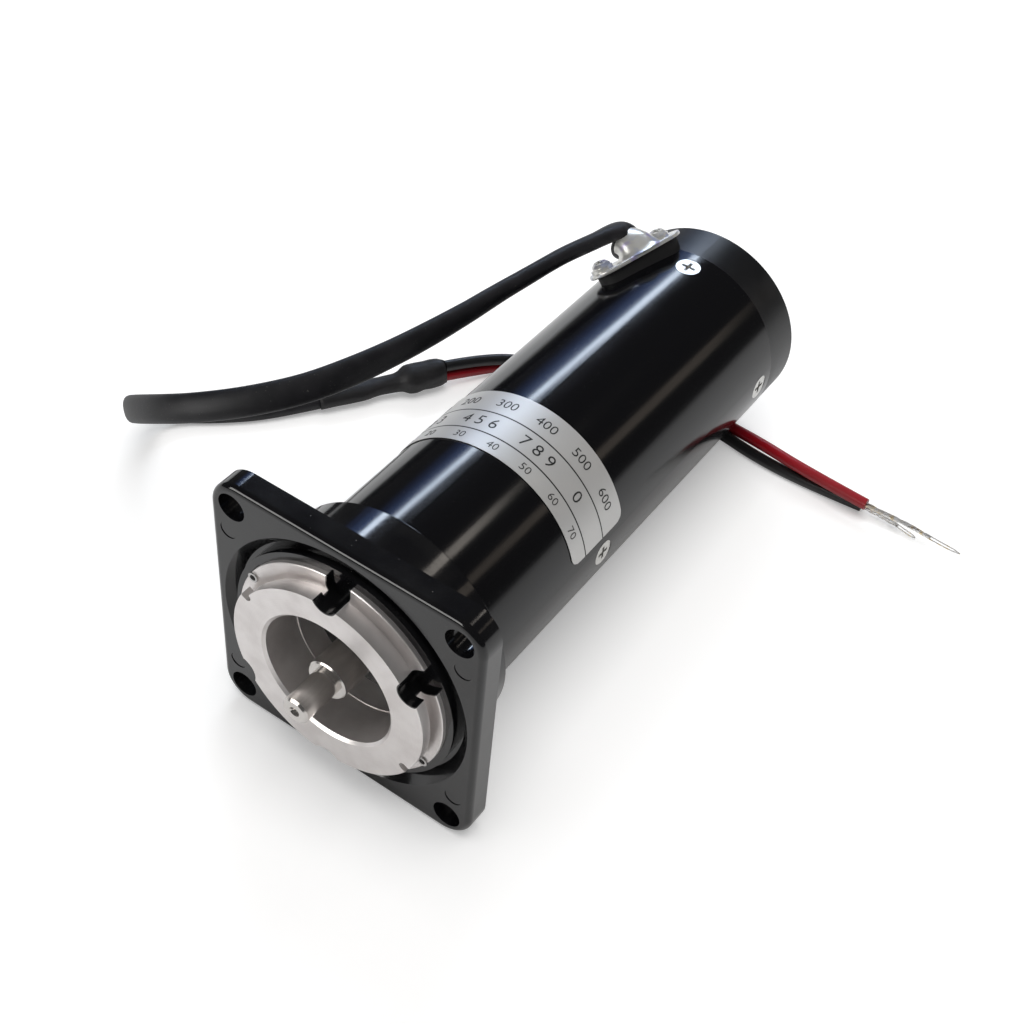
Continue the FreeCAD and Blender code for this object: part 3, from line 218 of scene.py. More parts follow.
lightSettings = {
    # name: place, aim, (length, width), power, colour, what it reaches (the gloss of things,
    # their matte colour or both) and the direction of the length
    "mainStrip": ((-0.50, 0.75, 0.66), (0, 0.02, 0.04), (0.62, 0.085), 2.3,
                  (0.80, 0.90, 1.0), "both", (0.29, 0.29, -0.095)),
    "warmStrip": ((0.70, 0.70, 0.50), (0, 0.02, 0.04), (0.40, 0.13), 0.12,
                  (1.0, 0.86, 0.72), "both", (-0.13, 0.25, -0.17)),
    "creamPanel": ((0.347, 0.61, 0.885), (0, 0.0, 0.04), (0.10, 0.13), 0.16,
                   (1.0, 0.93, 0.84), "both", (0.0, 0.11, -0.06)),
    "edgePanel": ((-0.44, -0.88, 0.53), (0, -0.09, 0.06), (0.90, 0.42), 5.5,
                  (1.0, 0.99, 0.97), "gloss", (1, 0, 0)),
    "blueNarrow": ((-0.53, 0.745, 0.635), (0, 0.0, 0.04), (0.62, 0.16), 0.24,
                   (0.26, 0.48, 1.0), "gloss", (0.29, 0.29, -0.095)),
    "blueMiddle": ((-0.56, 0.735, 0.60), (0, 0.0, 0.04), (0.64, 0.27), 0.28,
                   (0.22, 0.42, 1.0), "gloss", (0.29, 0.29, -0.095)),
    "blueWide": ((-0.59, 0.73, 0.57), (0, 0.0, 0.04), (0.66, 0.40), 0.24,
                 (0.20, 0.36, 1.0), "gloss", (0.29, 0.29, -0.095)),
    "backLeft": ((-0.62, 0.85, 1.05), (0, 0, 0.03), (0.7, 0.7), 3.2,
                 (1.0, 0.985, 0.97), "matte", (1, 0, 0)),
    "overhead": ((0.1, -0.1, 1.6), (0, 0, 0.03), (1.1, 1.1), 14.0,
                 (1.0, 0.99, 0.98), "matte", (1, 0, 0)),
}


def makeLights(s):
    for name, (place, aim, size, power, colour, share, along) in s.items():
        data = bpy.data.lights.new(name, "AREA")
        data.shape = "RECTANGLE"
        data.size, data.size_y = size
        data.energy = power
        data.color = colour
        lamp = bpy.data.objects.new(name, data)
        back = (Vector(place) - Vector(aim)).normalized()
        side = (Vector(along) - back * Vector(along).dot(back)).normalized()
        turn = Matrix((side, back.cross(side), back)).transposed()
        lamp.matrix_world = Matrix.Translation(place) @ turn.to_4x4()
        lamp.visible_glossy = share != "matte"
        lamp.visible_diffuse = share != "gloss"
        bpy.context.scene.collection.objects.link(lamp)


bpy.context.scene.view_settings.view_transform = "Standard"
makeCamera(cameraSettings)
makeFloor(floorSettings)
makeWorld(worldSettings)
makeLights(lightSettings)
print("camera, floor and lights ready")


# finishes

# those that share one build
# grain, streaks and tone: scale and detail; streaks stand for the grain of a turned surface
# colours: they follow the tone, or the grain where there is no tone; levels: where they change
# roughness: the least, and what the grain adds; relief and waves: depth of grain and tone
grainSettings = {
    "groundSteel": {
        "metallic": 0.93, "streaks": (9000, 3), "tone": (200, 2),
        "colours": ((0.74, 0.71, 0.68), (0.60, 0.57, 0.545)),
        "roughness": (0.12, 0.12), "relief": 0.000006},
    "bearingSteel": {
        "metallic": 0.8, "streaks": (7000, 2),
        "colours": ((0.62, 0.61, 0.60), (0.50, 0.49, 0.48)),
        "roughness": (0.16, 0.10), "relief": 0.000005},
    "darkZinc": {
        "metallic": 0.85, "grain": (700, 3),
        "colours": ((0.78, 0.77, 0.74), (0.60, 0.60, 0.58)),
        "roughness": (0.24, 0.14), "relief": 0.000004},
    "padRubber": {
        "grain": (2200, 3), "tone": (300, 2),
        "colours": ((0.010, 0.010, 0.011), (0.018, 0.018, 0.019)),
        "roughness": (0.52, 0.15), "relief": 0.00002},
    "shrinkTube": {
        "grain": (1500, 3), "tone": (260, 3),
        "colours": ((0.010, 0.010, 0.011), (0.020, 0.019, 0.020)),
        "roughness": (0.44, 0.2), "relief": 0.00004, "waves": 0.0003},
    "redInsulation": {
        "coat": (0.1, 0.25), "grain": (1300, 2), "tone": (120, 2),
        "colours": ((0.25, 0.0025, 0.008), (0.34, 0.004, 0.012)),
        "roughness": (0.34, 0.12), "relief": 0.000012, "waves": 0.00008},
    "blackInsulation": {
        "coat": (0.1, 0.25), "grain": (1300, 2), "tone": (120, 2),
        "colours": ((0.008, 0.008, 0.009), (0.014, 0.014, 0.015)),
        "roughness": (0.34, 0.12), "relief": 0.000012, "waves": 0.00008},
    "tinnedStrand": {
        "metallic": 0.75, "grain": (3000, 2), "tone": (420, 2), "levels": (0.50, 0.66),
        "colours": ((0.90, 0.89, 0.88), (0.86, 0.72, 0.48)),
        "roughness": (0.26, 0.2), "relief": 0.00001},
    "ferrite": {
        "grain": (2600, 3), "colours": ((0.035, 0.035, 0.038), (0.06, 0.06, 0.064)),
        "roughness": (0.62, 0.1), "relief": 0.00003},
    "commutatorCopper": {
        "metallic": 1.0, "streaks": (6000, 3), "tone": (160, 3), "levels": (0.4, 0.75),
        "colours": ((0.74, 0.40, 0.24), (0.40, 0.22, 0.15)),
        "roughness": (0.24, 0.14), "relief": 0.00001},
    "brass": {
        "metallic": 1.0, "grain": (400, 3),
        "colours": ((0.72, 0.52, 0.25), (0.52, 0.37, 0.19)),
        "roughness": (0.28, 0.16), "relief": 0.00002},
    "carbon": {
        "grain": (3200, 3), "colours": ((0.018, 0.018, 0.019), (0.045, 0.045, 0.046)),
        "roughness": (0.50, 0.2), "relief": 0.00003},
    "springSteel": {
        "metallic": 1.0, "grain": (1800, 2),
        "colours": ((0.30, 0.29, 0.28), (0.42, 0.41, 0.40)),
        "roughness": (0.26, 0.14), "relief": 0.00001},
    "mouldedNylon": {
        "grain": (1100, 3), "colours": ((0.025, 0.025, 0.027), (0.04, 0.04, 0.042)),
        "roughness": (0.46, 0.14), "relief": 0.00002},
}


def grainFinish(name, s):
    coat, coatRoughness = s.get("coat", (0.0, 0.03))
    f = Finish(name, Metallic=s.get("metallic", 0.0), Coat_Weight=coat,
               Coat_Roughness=coatRoughness)
    grain = f.streaks(f.turning(), *s["streaks"]) if "streaks" in s else f.noise(*s["grain"])
    tone = f.noise(*s["tone"]) if "tone" in s else grain
    share = f.fade(tone, *s["levels"]) if "levels" in s else tone
    waves = f.relief(tone, s["waves"]) if "waves" in s else None
    least, added = s["roughness"]
    return f.use(Base_Color=f.blend(share, *s["colours"]), Roughness=least + grain * added,
                 Normal=f.relief(grain, s["relief"], waves))


def castPaint():  # thick glossy black paint on a casting
    s = {"paint": (0.0035, 0.0035, 0.0045), "worn": (0.008, 0.008, 0.0085),
         "dust": (0.16, 0.15, 0.14), "roughness": 0.085, "uneven": 0.08, "dusty": 0.3,
         "peel": 0.000006, "casting": 0.00006}
    f = Finish("castPaint", Coat_Weight=0.2, Coat_Roughness=0.05)
    broad = f.noise(90, 3)
    peel = f.noise(900, 2)
    specks = f.fade(f.noise(1900, 1), 0.80, 0.83)
    colour = f.blend(f.fade(broad, 0.35, 0.75), s["paint"], s["worn"])
    return f.use(Base_Color=f.blend(specks, colour, s["dust"]),
                 Roughness=s["roughness"] + broad * s["uneven"] + specks * s["dusty"],
                 Normal=f.relief(peel, s["peel"], f.relief(broad, s["casting"])))


def tubeEnamel():  # very smooth black enamel, faintly drawn along the tube
    s = {"paint": (0.0030, 0.0030, 0.0038), "dust": (0.08, 0.075, 0.07),
         "roughness": 0.095, "peel": 0.0000025, "lines": 0.000004}
    f = Finish("tubeEnamel")
    peel = f.noise(2400, 3)
    drawn = f.noise(1500, 2, f.stretched((1, 0.04, 1)))
    broad = f.noise(60, 2)
    specks = f.fade(f.noise(3600, 1), 0.79, 0.82)
    return f.use(Base_Color=f.blend(specks, s["paint"], s["dust"]),
                 Roughness=s["roughness"] + broad * 0.04 + drawn * 0.05 + specks * 0.2,
                 Normal=f.relief(peel, s["peel"], f.relief(drawn, s["lines"])))


def capPaint():
    s = {"paint": (0.006, 0.006, 0.007), "worn": (0.011, 0.011, 0.012),
         "roughness": 0.30, "uneven": 0.12, "peel": 0.000012}
    f = Finish("capPaint")
    peel = f.noise(1900, 2)
    broad = f.noise(120, 2)
    return f.use(Base_Color=f.blend(f.fade(broad, 0.3, 0.7), s["paint"], s["worn"]),
                 Roughness=s["roughness"] + broad * s["uneven"],
                 Normal=f.relief(peel, s["peel"]))


def turnedAluminium():  # the two slots are black inside
    s = {"slots": (0.0, 60.0), "circle": 0.03015, "half": 0.00385, "edge": 0.00012,
         "bright": (0.86, 0.825, 0.81), "dull": (0.74, 0.70, 0.685),
         "black": (0.004, 0.004, 0.0045), "metallic": 0.82}
    f = Finish("turnedAluminium")
    lines = f.streaks(f.turning(), 5200, 3)
    broad = f.noise(140, 3)
    fine = f.streaks(f.turning(), 1500, 2)
    colour = f.blend(f.fade(broad + lines * 0.35, 0.45, 0.95), s["bright"], s["dull"])
    place = f.motorPlace()
    across, upward = f.part(place, "X"), f.part(place, "Z")
    black = 0
    for angle in s["slots"]:
        cosine, sine = math.cos(math.radians(angle)), math.sin(math.radians(angle))
        side = across * cosine - upward * sine
        outward = across * sine + upward * cosine - s["circle"]
        inward = f.maths("MINIMUM", outward, 0.0)  # round at the inner end, open at the outer
        off = (side * side + inward * inward) ** 0.5
        black = f.fade(off, s["half"] - s["edge"], s["half"] + s["edge"], 1.0, 0.0) + black
    return f.use(Base_Color=f.blend(black, colour, s["black"]),
                 Metallic=s["metallic"] - black * s["metallic"],
                 Roughness=0.25 + lines * 0.14 + broad * 0.08 - black * 0.18,
                 Normal=f.relief(lines, 0.000014, f.relief(fine, 0.000008)))


def zincPlate():  # bright zinc with faint blue and violet tints
    s = {"silver": (0.88, 0.87, 0.83), "blue": (0.60, 0.66, 0.86), "violet": (0.52, 0.44, 0.78),
         "roughness": 0.26, "uneven": 0.10, "relief": 0.000003}
    f = Finish("zincPlate", Metallic=0.72)
    tint = f.noise(260, 2)
    other = f.noise(170, 1)
    cloud = f.noise(900, 3)
    base = f.blend(f.fade(tint, 0.50, 0.72), s["silver"], s["blue"])
    colour = f.blend(f.fade(other, 0.60, 0.74), base, s["violet"])
    return f.use(Base_Color=colour, Roughness=s["roughness"] + cloud * s["uneven"],
                 Normal=f.relief(cloud, s["relief"]))


def cableJacket():
    s = {"dark": (0.009, 0.009, 0.011), "light": (0.016, 0.0155, 0.018),
         "dust": (0.06, 0.058, 0.055), "roughness": 0.42, "grain": 0.000012, "waves": 0.0001}
    f = Finish("cableJacket", Specular_IOR_Level=0.45)
    grain = f.noise(2600, 3)
    broad = f.noise(160, 3)
    dust = f.fade(f.noise(1700, 2), 0.68, 0.76)
    colour = f.blend(f.fade(broad, 0.3, 0.75), s["dark"], s["light"])
    return f.use(Base_Color=f.blend(dust, colour, s["dust"]),
                 Roughness=s["roughness"] + grain * 0.12 + broad * 0.08,
                 Normal=f.relief(grain, s["grain"], f.relief(broad, s["waves"])))


def foil():  # silver foil with two ruled lines
    s = {"lines": (0.0655, 0.0740), "half": 0.00022, "edge": 0.2,
         "silver": ((0.60, 0.60, 0.60), (0.70, 0.69, 0.67)), "ink": (0.012, 0.012, 0.012)}
    f = Finish("labelFoil", Metallic=0.55)
    grain = f.noise(3000, 2)
    broad = f.noise(70, 2)
    brushed = f.noise(500, 2, f.stretched((0.05, 3, 3)))
    station = f.part(f.motorPlace(), "Y")
    ruled = 0
    for line in s["lines"]:
        off = f.maths("ABSOLUTE", station - line)
        ruled = f.fade(off, s["half"] * (1 - s["edge"]), s["half"] * (1 + s["edge"]),
                       1.0, 0.0) + ruled
    silver = f.blend(broad, *s["silver"])
    return f.use(Base_Color=f.blend(ruled, silver, s["ink"]),
                 Roughness=0.40 + brushed * 0.10 + grain * 0.05,
                 Normal=f.relief(grain, 0.000006))


def ink():
    f = Finish("labelInk")
    grain = f.noise(5000, 2)
    return f.use(Base_Color=f.blend(grain, (0.010, 0.010, 0.010), (0.03, 0.03, 0.03)),
                 Roughness=0.5)


def laminations():
    sheet = 0.0005
    f = Finish("laminations", Metallic=0.9)
    station = f.part(f.motorPlace(), "Y")
    sheets = f.maths("SINE", station * (2 * math.pi / sheet))
    rust = f.noise(300, 3)
    return f.use(Base_Color=f.blend(rust, (0.36, 0.35, 0.34), (0.26, 0.23, 0.21)),
                 Roughness=0.36 + rust * 0.2, Normal=f.relief(sheets, 0.00003))


def enamelledCopper():
    f = Finish("enamelledCopper", Metallic=0.85, Coat_Weight=0.6, Coat_Roughness=0.15)
    strands = f.maths("SINE", f.turning() * 7000)
    tone = f.noise(220, 3)
    return f.use(Base_Color=f.blend(tone, (0.50, 0.17, 0.06), (0.62, 0.26, 0.10)),
                 Roughness=0.30 + tone * 0.15, Normal=f.relief(strands, 0.00012))


def phenolic():
    f = Finish("phenolic")
    fibres = f.noise(700, 3, f.stretched((1, 1, 6)))
    return f.use(Base_Color=f.blend(fibres, (0.16, 0.075, 0.035), (0.24, 0.12, 0.06)),
                 Roughness=0.50 + fibres * 0.1, Normal=f.relief(fibres, 0.00002))


grained = {name: grainFinish(name, s) for name, s in grainSettings.items()}
red, black, strand = (grained[n] for n in ("redInsulation", "blackInsulation", "tinnedStrand"))
bearing, spring = grained["bearingSteel"], grained["springSteel"]
screwZinc, rubber, shrink = (grained[n] for n in ("darkZinc", "padRubber", "shrinkTube"))
jacket, zinc, silverFoil = cableJacket(), zincPlate(), foil()
nodeFinishes = {
    "mounting_flange": castPaint(), "adapter_ring": turnedAluminium(), "ring_pins": bearing,
    "ring_screws": zinc, "motor_tube": tubeEnamel(), "end_cap": capPaint(),
    "field_magnets": grained["ferrite"], "magnet_spacers": grained["mouldedNylon"],
    "front_bearing_outer_race": bearing, "rear_bearing_outer_race": bearing,
    "front_bearing_inner_race": bearing, "rear_bearing_inner_race": bearing,
    "front_bearing_balls": bearing, "rear_bearing_balls": bearing, "bearing_clip": spring,
    "preload_washer": spring, "output_shaft": grained["groundSteel"],
    "armature_core": laminations(), "armature_windings": enamelledCopper(),
    "commutator": grained["commutatorCopper"], "brush_plate": phenolic(),
    "brush_boxes": grained["brass"], "carbon_brushes": grained["carbon"],
    "brush_springs": spring, "internal_wires": black, "clamp_pad": rubber, "cable_hood": zinc,
    "clamp_screws": zinc, "cable_tail": jacket, "rating_label": silverFoil,
    "splice_sleeve": shrink, "rear_tube_screws": screwZinc, "front_tube_screws": screwZinc,
    "power_cable": jacket, "red_lead": red, "black_lead": black, "red_strands": strand,
    "black_strands": strand,
}
for name, material in nodeFinishes.items():
    node = frame["nodes"][name]
    if node.material_slots:
        for place in node.material_slots:
            place.material = material
    else:
        node.data.materials.append(material)
print("finishes on", len(nodeFinishes), "nodes")


# pieces


def addPiece(name, bm, material, smooth=True):
    mesh = bpy.data.meshes.new(name)
    bm.to_mesh(mesh)
    bm.free()
    mesh.materials.append(material)
    if smooth:
        mesh.shade_smooth()
    piece = bpy.data.objects.new(name, mesh)
    bpy.context.scene.collection.objects.link(piece)
    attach(piece, "stator")
    return piece


def smoothBelow(piece, degrees):
    piece.data.set_sharp_from_angle(angle=math.radians(degrees))


def routeCurve(name, points, fineness):
    data = bpy.data.curves.new(name, "CURVE")
    data.dimensions = "3D"
    data.resolution_u = fineness
    spline = data.splines.new("NURBS")
    spline.points.add(len(points) - 1)
    for knot, place in zip(spline.points, points):
        knot.co = (*place, 1)
    spline.order_u = 3
    spline.use_endpoint_u = True
    return bpy.data.objects.new(name, data)


def routePoints(points, fineness):  # the points of the smooth line that these ones control
    curve = routeCurve("guide", points, fineness)
    bpy.context.scene.collection.objects.link(curve)
    bpy.context.view_layer.update()
    mesh = bpy.data.meshes.new_from_object(curve)
    line = [v.co.copy() for v in mesh.vertices]
    data = curve.data
    bpy.data.objects.remove(curve)
    bpy.data.curves.remove(data)
    bpy.data.meshes.remove(mesh)
    return line


def lineAxes(line, i):  # ahead, level and rising at one point of a line
    ahead = (line[min(i + 1, len(line) - 1)] - line[max(i - 1, 0)]).normalized()
    level = ahead.cross(Vector((0, 0, 1))).normalized()
    return ahead, level, level.cross(ahead)


def sweep(bm, line, sections, sides):
    # sections: at every point (half width, half height, angle of the width above the level,
    # power that squares the corners: 1 is an ellipse)
    rings = []
    for i, place in enumerate(line):
        ahead, level, rise = lineAxes(line, i)
        wide, high, angle, square = sections[i]
        turn = math.radians(angle)
        across = level * math.cos(turn) + rise * math.sin(turn)
        over = ahead.cross(across)
        ring = bmesh.ops.create_circle(bm, cap_ends=False, radius=1, segments=sides)["verts"]
        for v in ring:
            a, b = v.co.x, v.co.y
            a = math.copysign(abs(a) ** square, a)
            b = math.copysign(abs(b) ** square, b)
            v.co = place + across * (a * wide) + over * (b * high)
        rings.append(ring)
    for first, second in zip(rings, rings[1:]):
        edges = {e for v in first + second for e in v.link_edges
                 if e.other_vert(v) in first or e.other_vert(v) in second}
        rim = [e for e in edges if (e.verts[0] in first) == (e.verts[1] in first)]
        bmesh.ops.bridge_loops(bm, edges=rim)
    for ring in (rings[0], rings[-1]):
        bmesh.ops.contextual_create(bm, geom=ring)
    bmesh.ops.recalc_face_normals(bm, faces=bm.faces)
    return rings


cableSettings = {
    "route": [(-0.0167, 0.0783, 0.0666), (-0.0201, 0.0788, 0.0683),
              (-0.0222, 0.0804, 0.0700), (-0.0243, 0.0771, 0.0707),
              (-0.0262, 0.0711, 0.0703), (-0.0285, 0.0646, 0.0701),
              (-0.0309, 0.0575, 0.0698), (-0.0336, 0.0468, 0.0689),
              (-0.0363, 0.0342, 0.0686), (-0.0396, 0.0191, 0.0675),
              (-0.0446, 0.0019, 0.0661), (-0.0501, -0.0137, 0.0651),
              (-0.0578, -0.0284, 0.0634), (-0.0690, -0.0408, 0.0612),
              (-0.0823, -0.0490, 0.0572), (-0.0971, -0.0499, 0.0489),
              (-0.1180, -0.0415, 0.0302), (-0.1316, -0.0258, 0.0104),
              (-0.1274, -0.0147, 0.0040), (-0.1151, -0.0049, 0.0036),
              (-0.1039, 0.0068, 0.0032), (-0.0941, 0.0205, 0.0032)],
    "turns": [190, 188, 172, 150, 136, 132, 130, 122, 112, 98, 84, 72, 56, 47, 44, 54, 88, 118,
              130, 144, 165, 182],
    "width": 0.0086, "thickness": 0.0051, "square": 0.86, "length": 0.290,
    "neck": 0.86, "neckPoints": 14,  # a little narrower inside the hood
    "fineness": 8, "sides": 20,
}


def makeCable(s):
    line = routePoints(s["route"], s["fineness"])
    angles = [p.x for p in routePoints([(a, 0, 0) for a in s["turns"]], s["fineness"])]
    sections = []
    for i, angle in enumerate(angles):
        part = s["neck"] + (1 - s["neck"]) * min(1, i / s["neckPoints"])
        sections.append((s["width"] / 2 * part, s["thickness"] / 2, angle, s["square"]))
    bm = bmesh.new()
    sweep(bm, line, sections, s["sides"])
    cable = addPiece("flatCable", bm, jacket)
    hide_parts("power_cable")
    return cable, line


clampSettings = {  # mm and degrees
    "angle": -30.0, "station": 159.5, "turn": 23.0, "radius": 30.9,
    # plate: height of its underside, its sheet, length, width, round edge, shift along it
    "under": 2.2, "sheet": 1.3, "length": 32.5, "width": 12.4, "edge": 0.35, "shift": 1.2,
    "tip": 15.0,  # the plate leans away from the top of the tube
    # pad: length, width, shift, depth, and the film of air between it and the tube
    "pad": (29.0, 9.0, 1.6, 2.6, 0.02),
    # hood: middle x, y, z, half widths along x and y, lean and roll
    "rings": [(0.8, 2.6, 3.4, 6.8, 8.0, 0, 0), (0.8, 2.6, 3.8, 6.0, 7.2, 0, 0),
              (0.6, 2.5, 4.7, 5.3, 6.5, 6, 2), (0.1, 2.2, 6.0, 4.8, 5.9, 18, 8),
              (-0.8, 1.6, 7.2, 4.4, 5.4, 32, 14), (-1.8, 1.1, 8.0, 4.1, 5.1, 43, 19),
              (-2.3, 0.9, 8.4, 4.1, 5.1, 47, 20), (-2.35, 0.9, 8.45, 3.4, 4.4, 47, 20),
              (-1.4, 1.2, 7.4, 3.2, 4.3, 38, 14), (0.2, 2.0, 5.4, 3.6, 4.6, 15, 6)],
    "washers": (10.7, 3.5, 1.15, 0.02),  # distance from the middle, radius, thickness, sunk by
    "endSides": 64, "hoodSides": 40, "crease": 50, "tiny": 0.001,
}


def clampSpace(s):
    angle, turn = math.radians(s["angle"]), math.radians(s["turn"])
    out = Vector((math.sin(angle), 0, math.cos(angle)))
    around, along = Vector((math.cos(angle), 0, -math.sin(angle))), Vector((0, 1, 0))
    wide = around * math.cos(turn) - along * math.sin(turn)
    long = along * math.cos(turn) + around * math.sin(turn)
    place = (out * s["radius"] + along * s["station"]) * mm
    axes = Matrix((wide, long, out)).transposed().to_4x4()
    pivot = Matrix.Translation((0, 0, s["under"] + s["sheet"]))
    lean = pivot @ Matrix.Rotation(math.radians(-s["tip"]), 4, "Y") @ pivot.inverted()
    return motorSpace @ Matrix.Translation(place) @ axes @ Matrix.Scale(mm, 4) @ lean


def roundEnded(bm, s, length, width, height, shift, bottom):  # returns its lower rim
    rim = bmesh.ops.create_circle(bm, cap_ends=True, radius=width / 2,
                                  segments=s["endSides"])["verts"]
    for v in rim:
        if abs(v.co.y) > s["tiny"]:
            v.co.y += math.copysign((length - width) / 2, v.co.y)
        v.co.y += shift
        v.co.z = bottom
    faces = list({f for v in rim for f in v.link_faces})
    lifted = bmesh.ops.extrude_face_region(bm, geom=faces, use_keep_orig=True)["geom"]
    bmesh.ops.translate(bm, verts=[g for g in lifted if isinstance(g, bmesh.types.BMVert)],
                        vec=(0, 0, height))
    return rim


def makeHood(s):
    bm = bmesh.new()
    roundEnded(bm, s, s["length"], s["width"], s["sheet"], s["shift"], s["under"])
    rims = [e for e in bm.edges if abs(e.verts[0].co.z - e.verts[1].co.z) < s["tiny"]]
    bmesh.ops.bevel(bm, geom=rims, offset=s["edge"], segments=3, affect="EDGES", profile=0.5,
                    material=-1)
    away, radius, thick, sunk = s["washers"]
    for side in (-away, away):
        place = Matrix.Translation((0, side, s["under"] + s["sheet"] + thick / 2 - sunk))
        bmesh.ops.create_cone(bm, cap_ends=True, segments=s["hoodSides"], radius1=radius,
                              radius2=radius, depth=thick, matrix=place)
    # the hood drawn up from the plate, and back down inside its mouth
    rings = []
    for x, y, z, wide, long, lean, roll in s["rings"]:
        place = (Matrix.Translation((x, y, z)) @ Matrix.Rotation(math.radians(-lean), 4, "Y")
                 @ Matrix.Rotation(math.radians(roll), 4, "X")
                 @ Matrix.Diagonal((wide, long, 1, 1)))
        rings.append(bmesh.ops.create_circle(bm, cap_ends=False, radius=1, matrix=place,
                                             segments=s["hoodSides"])["verts"])
    for first, second in zip(rings, rings[1:]):
        edges = {e for v in first + second for e in v.link_edges if len(e.link_faces) < 2}
        rim = [e for e in edges if (e.verts[0] in first) == (e.verts[1] in first)]
        bmesh.ops.bridge_loops(bm, edges=rim)
    bmesh.ops.contextual_create(bm, geom=rings[-1])
    bmesh.ops.contextual_create(bm, geom=rings[0])
    bmesh.ops.recalc_face_normals(bm, faces=bm.faces)
    bmesh.ops.transform(bm, matrix=clampSpace(s), verts=bm.verts)
    hood = addPiece("cableHood", bm, zinc)
    smoothBelow(hood, s["crease"])
    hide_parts("cable_hood")


def makePad(s):  # rubber that fills the gap between the plate and the tube
    length, width, shift, depth, air = s["pad"]
    bm = bmesh.new()
    rim = roundEnded(bm, s, length, width, depth, shift, s["under"] - depth)
    bmesh.ops.transform(bm, matrix=motorSpace.inverted() @ clampSpace(s), verts=bm.verts)
    for v in rim:  # lay the lower rim on the tube
        onTube = Vector((v.co.x, 0, v.co.z)).normalized() * (s["radius"] + air) * mm
        v.co.x, v.co.z = onTube.x, onTube.z
    bmesh.ops.transform(bm, matrix=motorSpace, verts=bm.verts)
    bmesh.ops.recalc_face_normals(bm, faces=bm.faces)
    pad = addPiece("clampPad", bm, rubber)
    smoothBelow(pad, s["crease"])
    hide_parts("clamp_pad")


labelSettings = {  # mm and degrees
    "stations": (59.4, 83.8), "reach": 78.0, "radius": 31.06, "corner": 3.0, "foil": 0.12,
    "cells": (90, 12), "crease": 40,
    # figures: size for a height of 1, thickness each way, thinning and lift above the foil
    "figures": (1.35, 0.02, -0.03, 0.03),
    # rows of plain figures: station of the middle, height and the words with their angles
    "rows": [(62.3, 2.7, (("10", -60), ("20", -40), ("30", -20), ("40", 0), ("50", 20),
                          ("60", 40), ("70", 60))),
             (69.6, 4.2, (("1 2 3", -52), ("4 5 6", -17), ("7 8 9", 18), ("0", 48))),
             (78.6, 3.4, (("100", -60), ("200", -36), ("300", -12), ("400", 12), ("500", 36),
                          ("600", 60)))],
}


def bendOnTube(bm, radius):  # x along the arc, y along the tube, z out from it
    for v in bm.verts:
        angle = v.co.x / radius
        out = radius + v.co.z
        v.co = motorSpace @ (Vector((out * math.sin(angle), v.co.y, out * math.cos(angle))) * mm)


def makeLabel(s):
    start, end = s["stations"]
    half = math.radians(s["reach"]) * s["radius"]
    bm = bmesh.new()
    around, along = s["cells"]
    bmesh.ops.create_grid(bm, x_segments=around, y_segments=along, size=1)
    for v in bm.verts:
        x, y = v.co.x * half, v.co.y * (end - start) / 2
        # pull the corners of the grid in onto a round corner
        overX, overY = abs(x) - (half - s["corner"]), abs(y) - ((end - start) / 2 - s["corner"])
        if overX > 0 and overY > 0:
            far = math.hypot(overX, overY)
            most = max(overX, overY)
            x -= math.copysign(overX * (1 - most / far), x)
            y -= math.copysign(overY * (1 - most / far), y)
        v.co = Vector((x, (start + end) / 2 + y, 0))
    bmesh.ops.solidify(bm, geom=bm.faces[:], thickness=-s["foil"])
    bendOnTube(bm, s["radius"])
    bmesh.ops.recalc_face_normals(bm, faces=bm.faces)
    label = addPiece("ratingLabel", bm, silverFoil)
    smoothBelow(label, s["crease"])
    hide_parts("rating_label")


def makeFigures(s):
    size, thick, thinning, lift = s["figures"]
    bm = bmesh.new()
    for station, height, words in s["rows"]:
        for word, angle in words:
            data = bpy.data.curves.new("figures", "FONT")
            data.body = word
            data.size = height * size
            data.extrude = thick
            data.offset = thinning
            data.align_x = "CENTER"
            data.align_y = "CENTER"
            data.resolution_u = 3
            made = bpy.data.objects.new("figures", data)
            bpy.context.scene.collection.objects.link(made)
            bpy.context.view_layer.update()
            mesh = bpy.data.meshes.new_from_object(made)
            arc = math.radians(angle) * s["radius"]
            mesh.transform(Matrix.Translation((arc, station, s["foil"] + lift)))
            bm.from_mesh(mesh)
            bpy.data.objects.remove(made)
            bpy.data.curves.remove(data)
            bpy.data.meshes.remove(mesh)
    bendOnTube(bm, s["radius"])
    addPiece("labelFigures", bm, ink(), smooth=False)


sleeveSettings = {
    "route": [(-0.0950, 0.0183, 0.0037), (-0.0900, 0.0248, 0.0039), (-0.0850, 0.0314, 0.0040),
              (-0.0800, 0.0380, 0.0044), (-0.0757, 0.0435, 0.0052), (-0.0720, 0.0483, 0.0057),
              (-0.0687, 0.0526, 0.0060)],
    # half width and half height in mm, at even steps from the cable to the leads
    "sizes": [(4.7, 2.9), (4.6, 2.9), (4.5, 2.8), (4.5, 2.8), (4.4, 2.7), (3.5, 2.6),
              (3.3, 2.6), (3.3, 2.6), (3.5, 2.8), (4.9, 4.6), (5.0, 4.7), (4.7, 4.6),
              (4.6, 4.5), (4.4, 4.4), (3.0, 4.2)],
    "square": 0.9, "fineness": 10, "sides": 36,
    # wrinkles: depth in mm, the part of it that the cable's end has, where it grows to the
    # whole, the shares of folds and creases, and how closely each kind lies
    "wrinkle": 0.42, "calm": 0.35, "growth": (0.35, 0.2), "kinds": (0.55, 0.8),
    "folds": (260, 260, 420), "creases": (3.1, 7),
    "floor": 0.0002,  # nothing reaches lower than this above the floor
}


